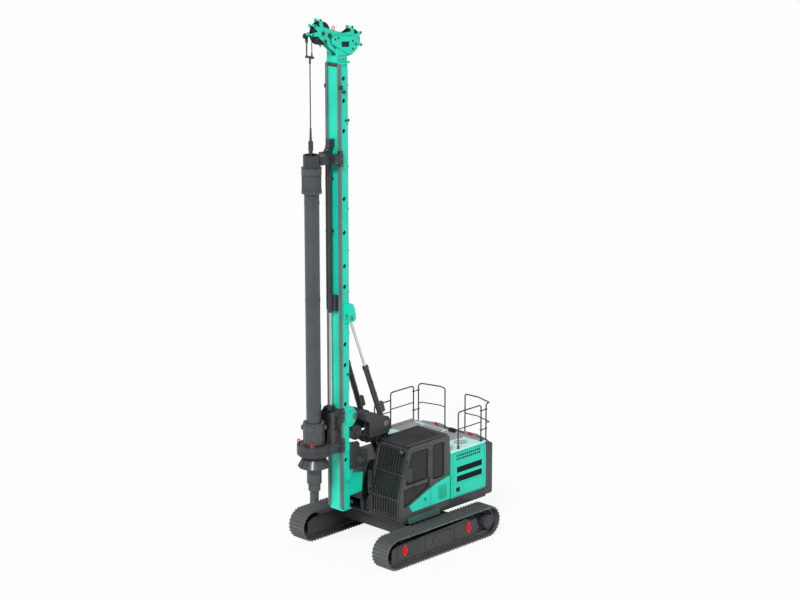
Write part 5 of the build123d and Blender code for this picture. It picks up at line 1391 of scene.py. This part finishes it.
def kellyDetail():
    rings, bolts, plates = Maker(), Maker(), Maker()
    x = rotary["x"]
    bolts.boltRing((x, 0, kelly["collar"]), upward, 0.225, 18, 0.008, 0.012, 0.17)
    for z, radius, count in kelly["rings"]:
        rings.hoop((x, 0, z), upward, radius, 0.005, count)
    # Wear plates beside the ribs at the joints of the tube
    for k in range(3):
        turn = turned(45 + 120 * k)
        for z in kelly["plates"]:
            plates.box((x + 0.172, -0.034, z), (x + 0.189, 0.034, z + 0.10), turn, (x, 0, z + 0.05))
    for side in (-1, 1):
        plates.box((x + side * 0.075 - 0.002, -0.05, 1.60), (x + side * 0.075 + 0.002, 0.05, 1.84))
    rings.finish("kellyRings", "kelly", "kelly", "dark_paint")
    bolts.finish("kellyBolts", "kelly", "zinc", "machined_steel")
    plates.finish("kellyPlates", "kelly", "kelly", "dark_paint", 0.002)


guide = {"bolts": (9.68, 9.82, 9.96), "rims": (9.983, 9.702), "swivelRims": (10.09, 10.19, 10.29)}


def guideDetail():
    bolts, dark = Maker(), Maker()
    for side in (-1, 1):
        for z in guide["bolts"]:
            bolts.sideRow(side, (1.985, 0.267, z), (2.04, 0.267, z), 2, 0.011, 0.010)
        bolts.sideRow(side, (2.14, 0.27, 9.76), (2.2, 0.27, 9.76), 2, 0.011, 0.01)
    for z in guide["rims"]:
        dark.hoop((rotary["x"], 0, z), upward, 0.188, 0.006, 48)
    bolts.boltRing((rotary["x"], 0, 9.985), upward, 0.176, 16, 0.007, 0.009)
    bolts.boltRing((rotary["x"], rotary["ropeY"], 10.30), upward, 0.042, 6, 0.007, 0.01)
    for z in guide["swivelRims"]:
        dark.hoop((rotary["x"], rotary["ropeY"], z), upward, 0.057, 0.004, 28)
    dark.rod((rotary["x"], rotary["ropeY"], 10.36), sideways, -0.04, 0.04, 0.013, 16)
    bolts.finish("guideBolts", "mast", "zinc", "machined_steel")
    dark.finish("guideRims", "mast", "dark", "dark_paint")


print("dressing the rotary head")
rotaryDetail()
sleeveDetail()
kellyDetail()
guideDetail()

# Ropes over the front sheave: live and dead fall to the spreader, one rope on to the swivel

ropes = {"strands": 6, "lay": 0.11, "sheaveRadius": 0.25, "fallY": 0.04, "deadY": -0.13,
         "spreaderZ": 12.235, "swivelZ": 10.46, "deadEndZ": 12.57,
         "live": 0.0115, "dead": 0.018, "main": 0.0145}


def strandedRope(maker, path, radius):
    # Strands wound round a line of points
    path = [Vector(p) for p in path]
    lengths = [0.0]
    for a, b in zip(path, path[1:]):
        lengths.append(lengths[-1] + (b - a).length)
    strand = radius * 0.42
    for k in range(ropes["strands"]):
        line = []
        for i, point in enumerate(path):
            way = heading(path, i)
            side = way.cross(Vector((0.31, 0.95, 0.05))).normalized()
            other = way.cross(side)
            angle = 2 * math.pi * (lengths[i] / ropes["lay"] + k / ropes["strands"])
            line.append(point + (side * math.cos(angle) + other * math.sin(angle)) * (radius - strand))
        maker.tube(line, strand, 5)


def straight(start, end):
    count = max(8, int((Vector(end) - Vector(start)).length / ropes["lay"] * 8))
    return between(start, end, count)


def ropeDetail():
    rope, metal = Maker(), Maker()
    sheaveX, sheaveZ = sheaveHubs["front_sheave"][0]
    fallX = sheaveX + ropes["sheaveRadius"]
    mainX, mainY = rotary["x"], rotary["ropeY"]
    z, live, dead = ropes["spreaderZ"], ropes["fallY"], ropes["deadY"]
    strandedRope(rope, straight((fallX, live, z), (fallX, live, sheaveZ)), ropes["live"])
    strandedRope(rope, straight((fallX, dead, z), (fallX, dead, ropes["deadEndZ"])), ropes["dead"])
    strandedRope(rope, straight((mainX, mainY, ropes["swivelZ"]), (mainX, mainY, z)), ropes["main"])
    metal.lathe((fallX, dead - 0.035, z), sideways, [(0, 0.02), (0.006, 0.026), (0.259, 0.026),
                                                     (0.265, 0.02)], 24)
    for y in (live, mainY, dead):
        metal.rod((fallX, y, z), sideways, -0.016, 0.016, 0.034, 24)
    metal.lathe((fallX, dead, 12.55), upward, [(0, 0.022), (0.012, 0.034), (0.13, 0.034), (0.15, 0.024)], 20)
    metal.lathe((fallX, live, z), upward, [(0.02, 0.018), (0.10, 0.018), (0.11, 0.013)], 16)
    metal.lathe((mainX, mainY, 10.45), upward, [(0, 0.02), (0.02, 0.026), (0.15, 0.022), (0.17, 0.016)], 16)
    metal.lathe((mainX, mainY, z), (0, 0, -1), [(0.02, 0.024), (0.14, 0.024), (0.16, 0.016)], 16)
    strands = rope.finish("hoistRopes", "mast", "rope", "rope_steel")
    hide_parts("hoist_rope")
    metal.finish("ropeEnds", "mast", "cast", "machined_steel", 0.001)


print("laying the ropes")
ropeDetail()

# Camera, light and floor

camera = {"place": (41.408, 40.586, 21.57), "heading": (-0.7157, -0.6984), "pitch": 15.0, "lens": 112.5}
lighting = {"world": 0.42, "key": 2.5, "keyAngle": 14.0, "keyFrom": (1.0, 0.62, 1.0), "floor": 0.9,
            "floorGlow": 0.9}


def placeCamera():
    lens = bpy.data.cameras.new("camera")
    lens.lens = camera["lens"]
    lens.sensor_width = 36.0
    lens.clip_end = 500.0
    eye = addObject("camera", lens)
    down = math.radians(camera["pitch"])
    hx, hy = camera["heading"]
    look = Vector((hx * math.cos(down), hy * math.cos(down), -math.sin(down)))
    eye.location = at(*camera["place"])
    eye.rotation_euler = look.to_track_quat("-Z", "Y").to_euler()
    bpy.context.scene.camera = eye


def placeLight():
    world = bpy.data.worlds.new("studio")
    bpy.context.scene.world = world
    world.use_nodes = True
    tree = world.node_tree
    tree.nodes.clear()
    path = tree.nodes.new("ShaderNodeLightPath")
    seen = tree.nodes.new("ShaderNodeMath")
    seen.operation = "MAXIMUM"
    tree.links.new(path.outputs["Is Camera Ray"], seen.inputs[0])
    tree.links.new(path.outputs["Is Transmission Ray"], seen.inputs[1])
    strength = tree.nodes.new("ShaderNodeMapRange")
    strength.inputs["To Min"].default_value = lighting["world"]
    tree.links.new(seen.outputs[0], strength.inputs["Value"])
    background = tree.nodes.new("ShaderNodeBackground")
    background.inputs["Color"].default_value = (1.0, 1.0, 1.0, 1.0)
    tree.links.new(strength.outputs["Result"], background.inputs["Strength"])
    output = tree.nodes.new("ShaderNodeOutputWorld")
    tree.links.new(background.outputs[0], output.inputs["Surface"])
    sun = bpy.data.lights.new("key", "SUN")
    sun.energy = lighting["key"]
    sun.angle = math.radians(lighting["keyAngle"])
    lamp = addObject("key", sun)
    lamp.rotation_euler = Vector(lighting["keyFrom"]).to_track_quat("Z", "Y").to_euler()


def placeFloor():
    # The open floor is seen as white; the machine's shadow stays on it, fainter
    maker = Maker()
    maker.box((-260, -260, -0.02), (260, 260, 0.0))
    s = Shader("paleFloor")
    level = lighting["floor"]
    ground = s.add("ShaderNodeBsdfPrincipled", {}, {"Base Color": (level, level, level, 1.0),
                                                    "Roughness": 0.9 + s.noise(2.0) * 0.05})["BSDF"]
    white = s.add("ShaderNodeEmission", {}, {"Strength": 1.0})["Emission"]
    seen = s.add("ShaderNodeLightPath")["Is Camera Ray"] * lighting["floorGlow"]
    both = s.add("ShaderNodeMixShader", {}, [seen, ground, white])["Shader"]
    s.tree.links.new(both.socket, s.output.inputs["Surface"])
    mesh = bpy.data.meshes.new("floor")
    maker.mesh.to_mesh(mesh)
    maker.mesh.free()
    floor = addObject("floor", mesh)
    mesh.materials.append(s.material)


print("setting the camera, light and floor")
placeCamera()
placeLight()
placeFloor()

bpy.context.scene.view_settings.view_transform = "Standard"
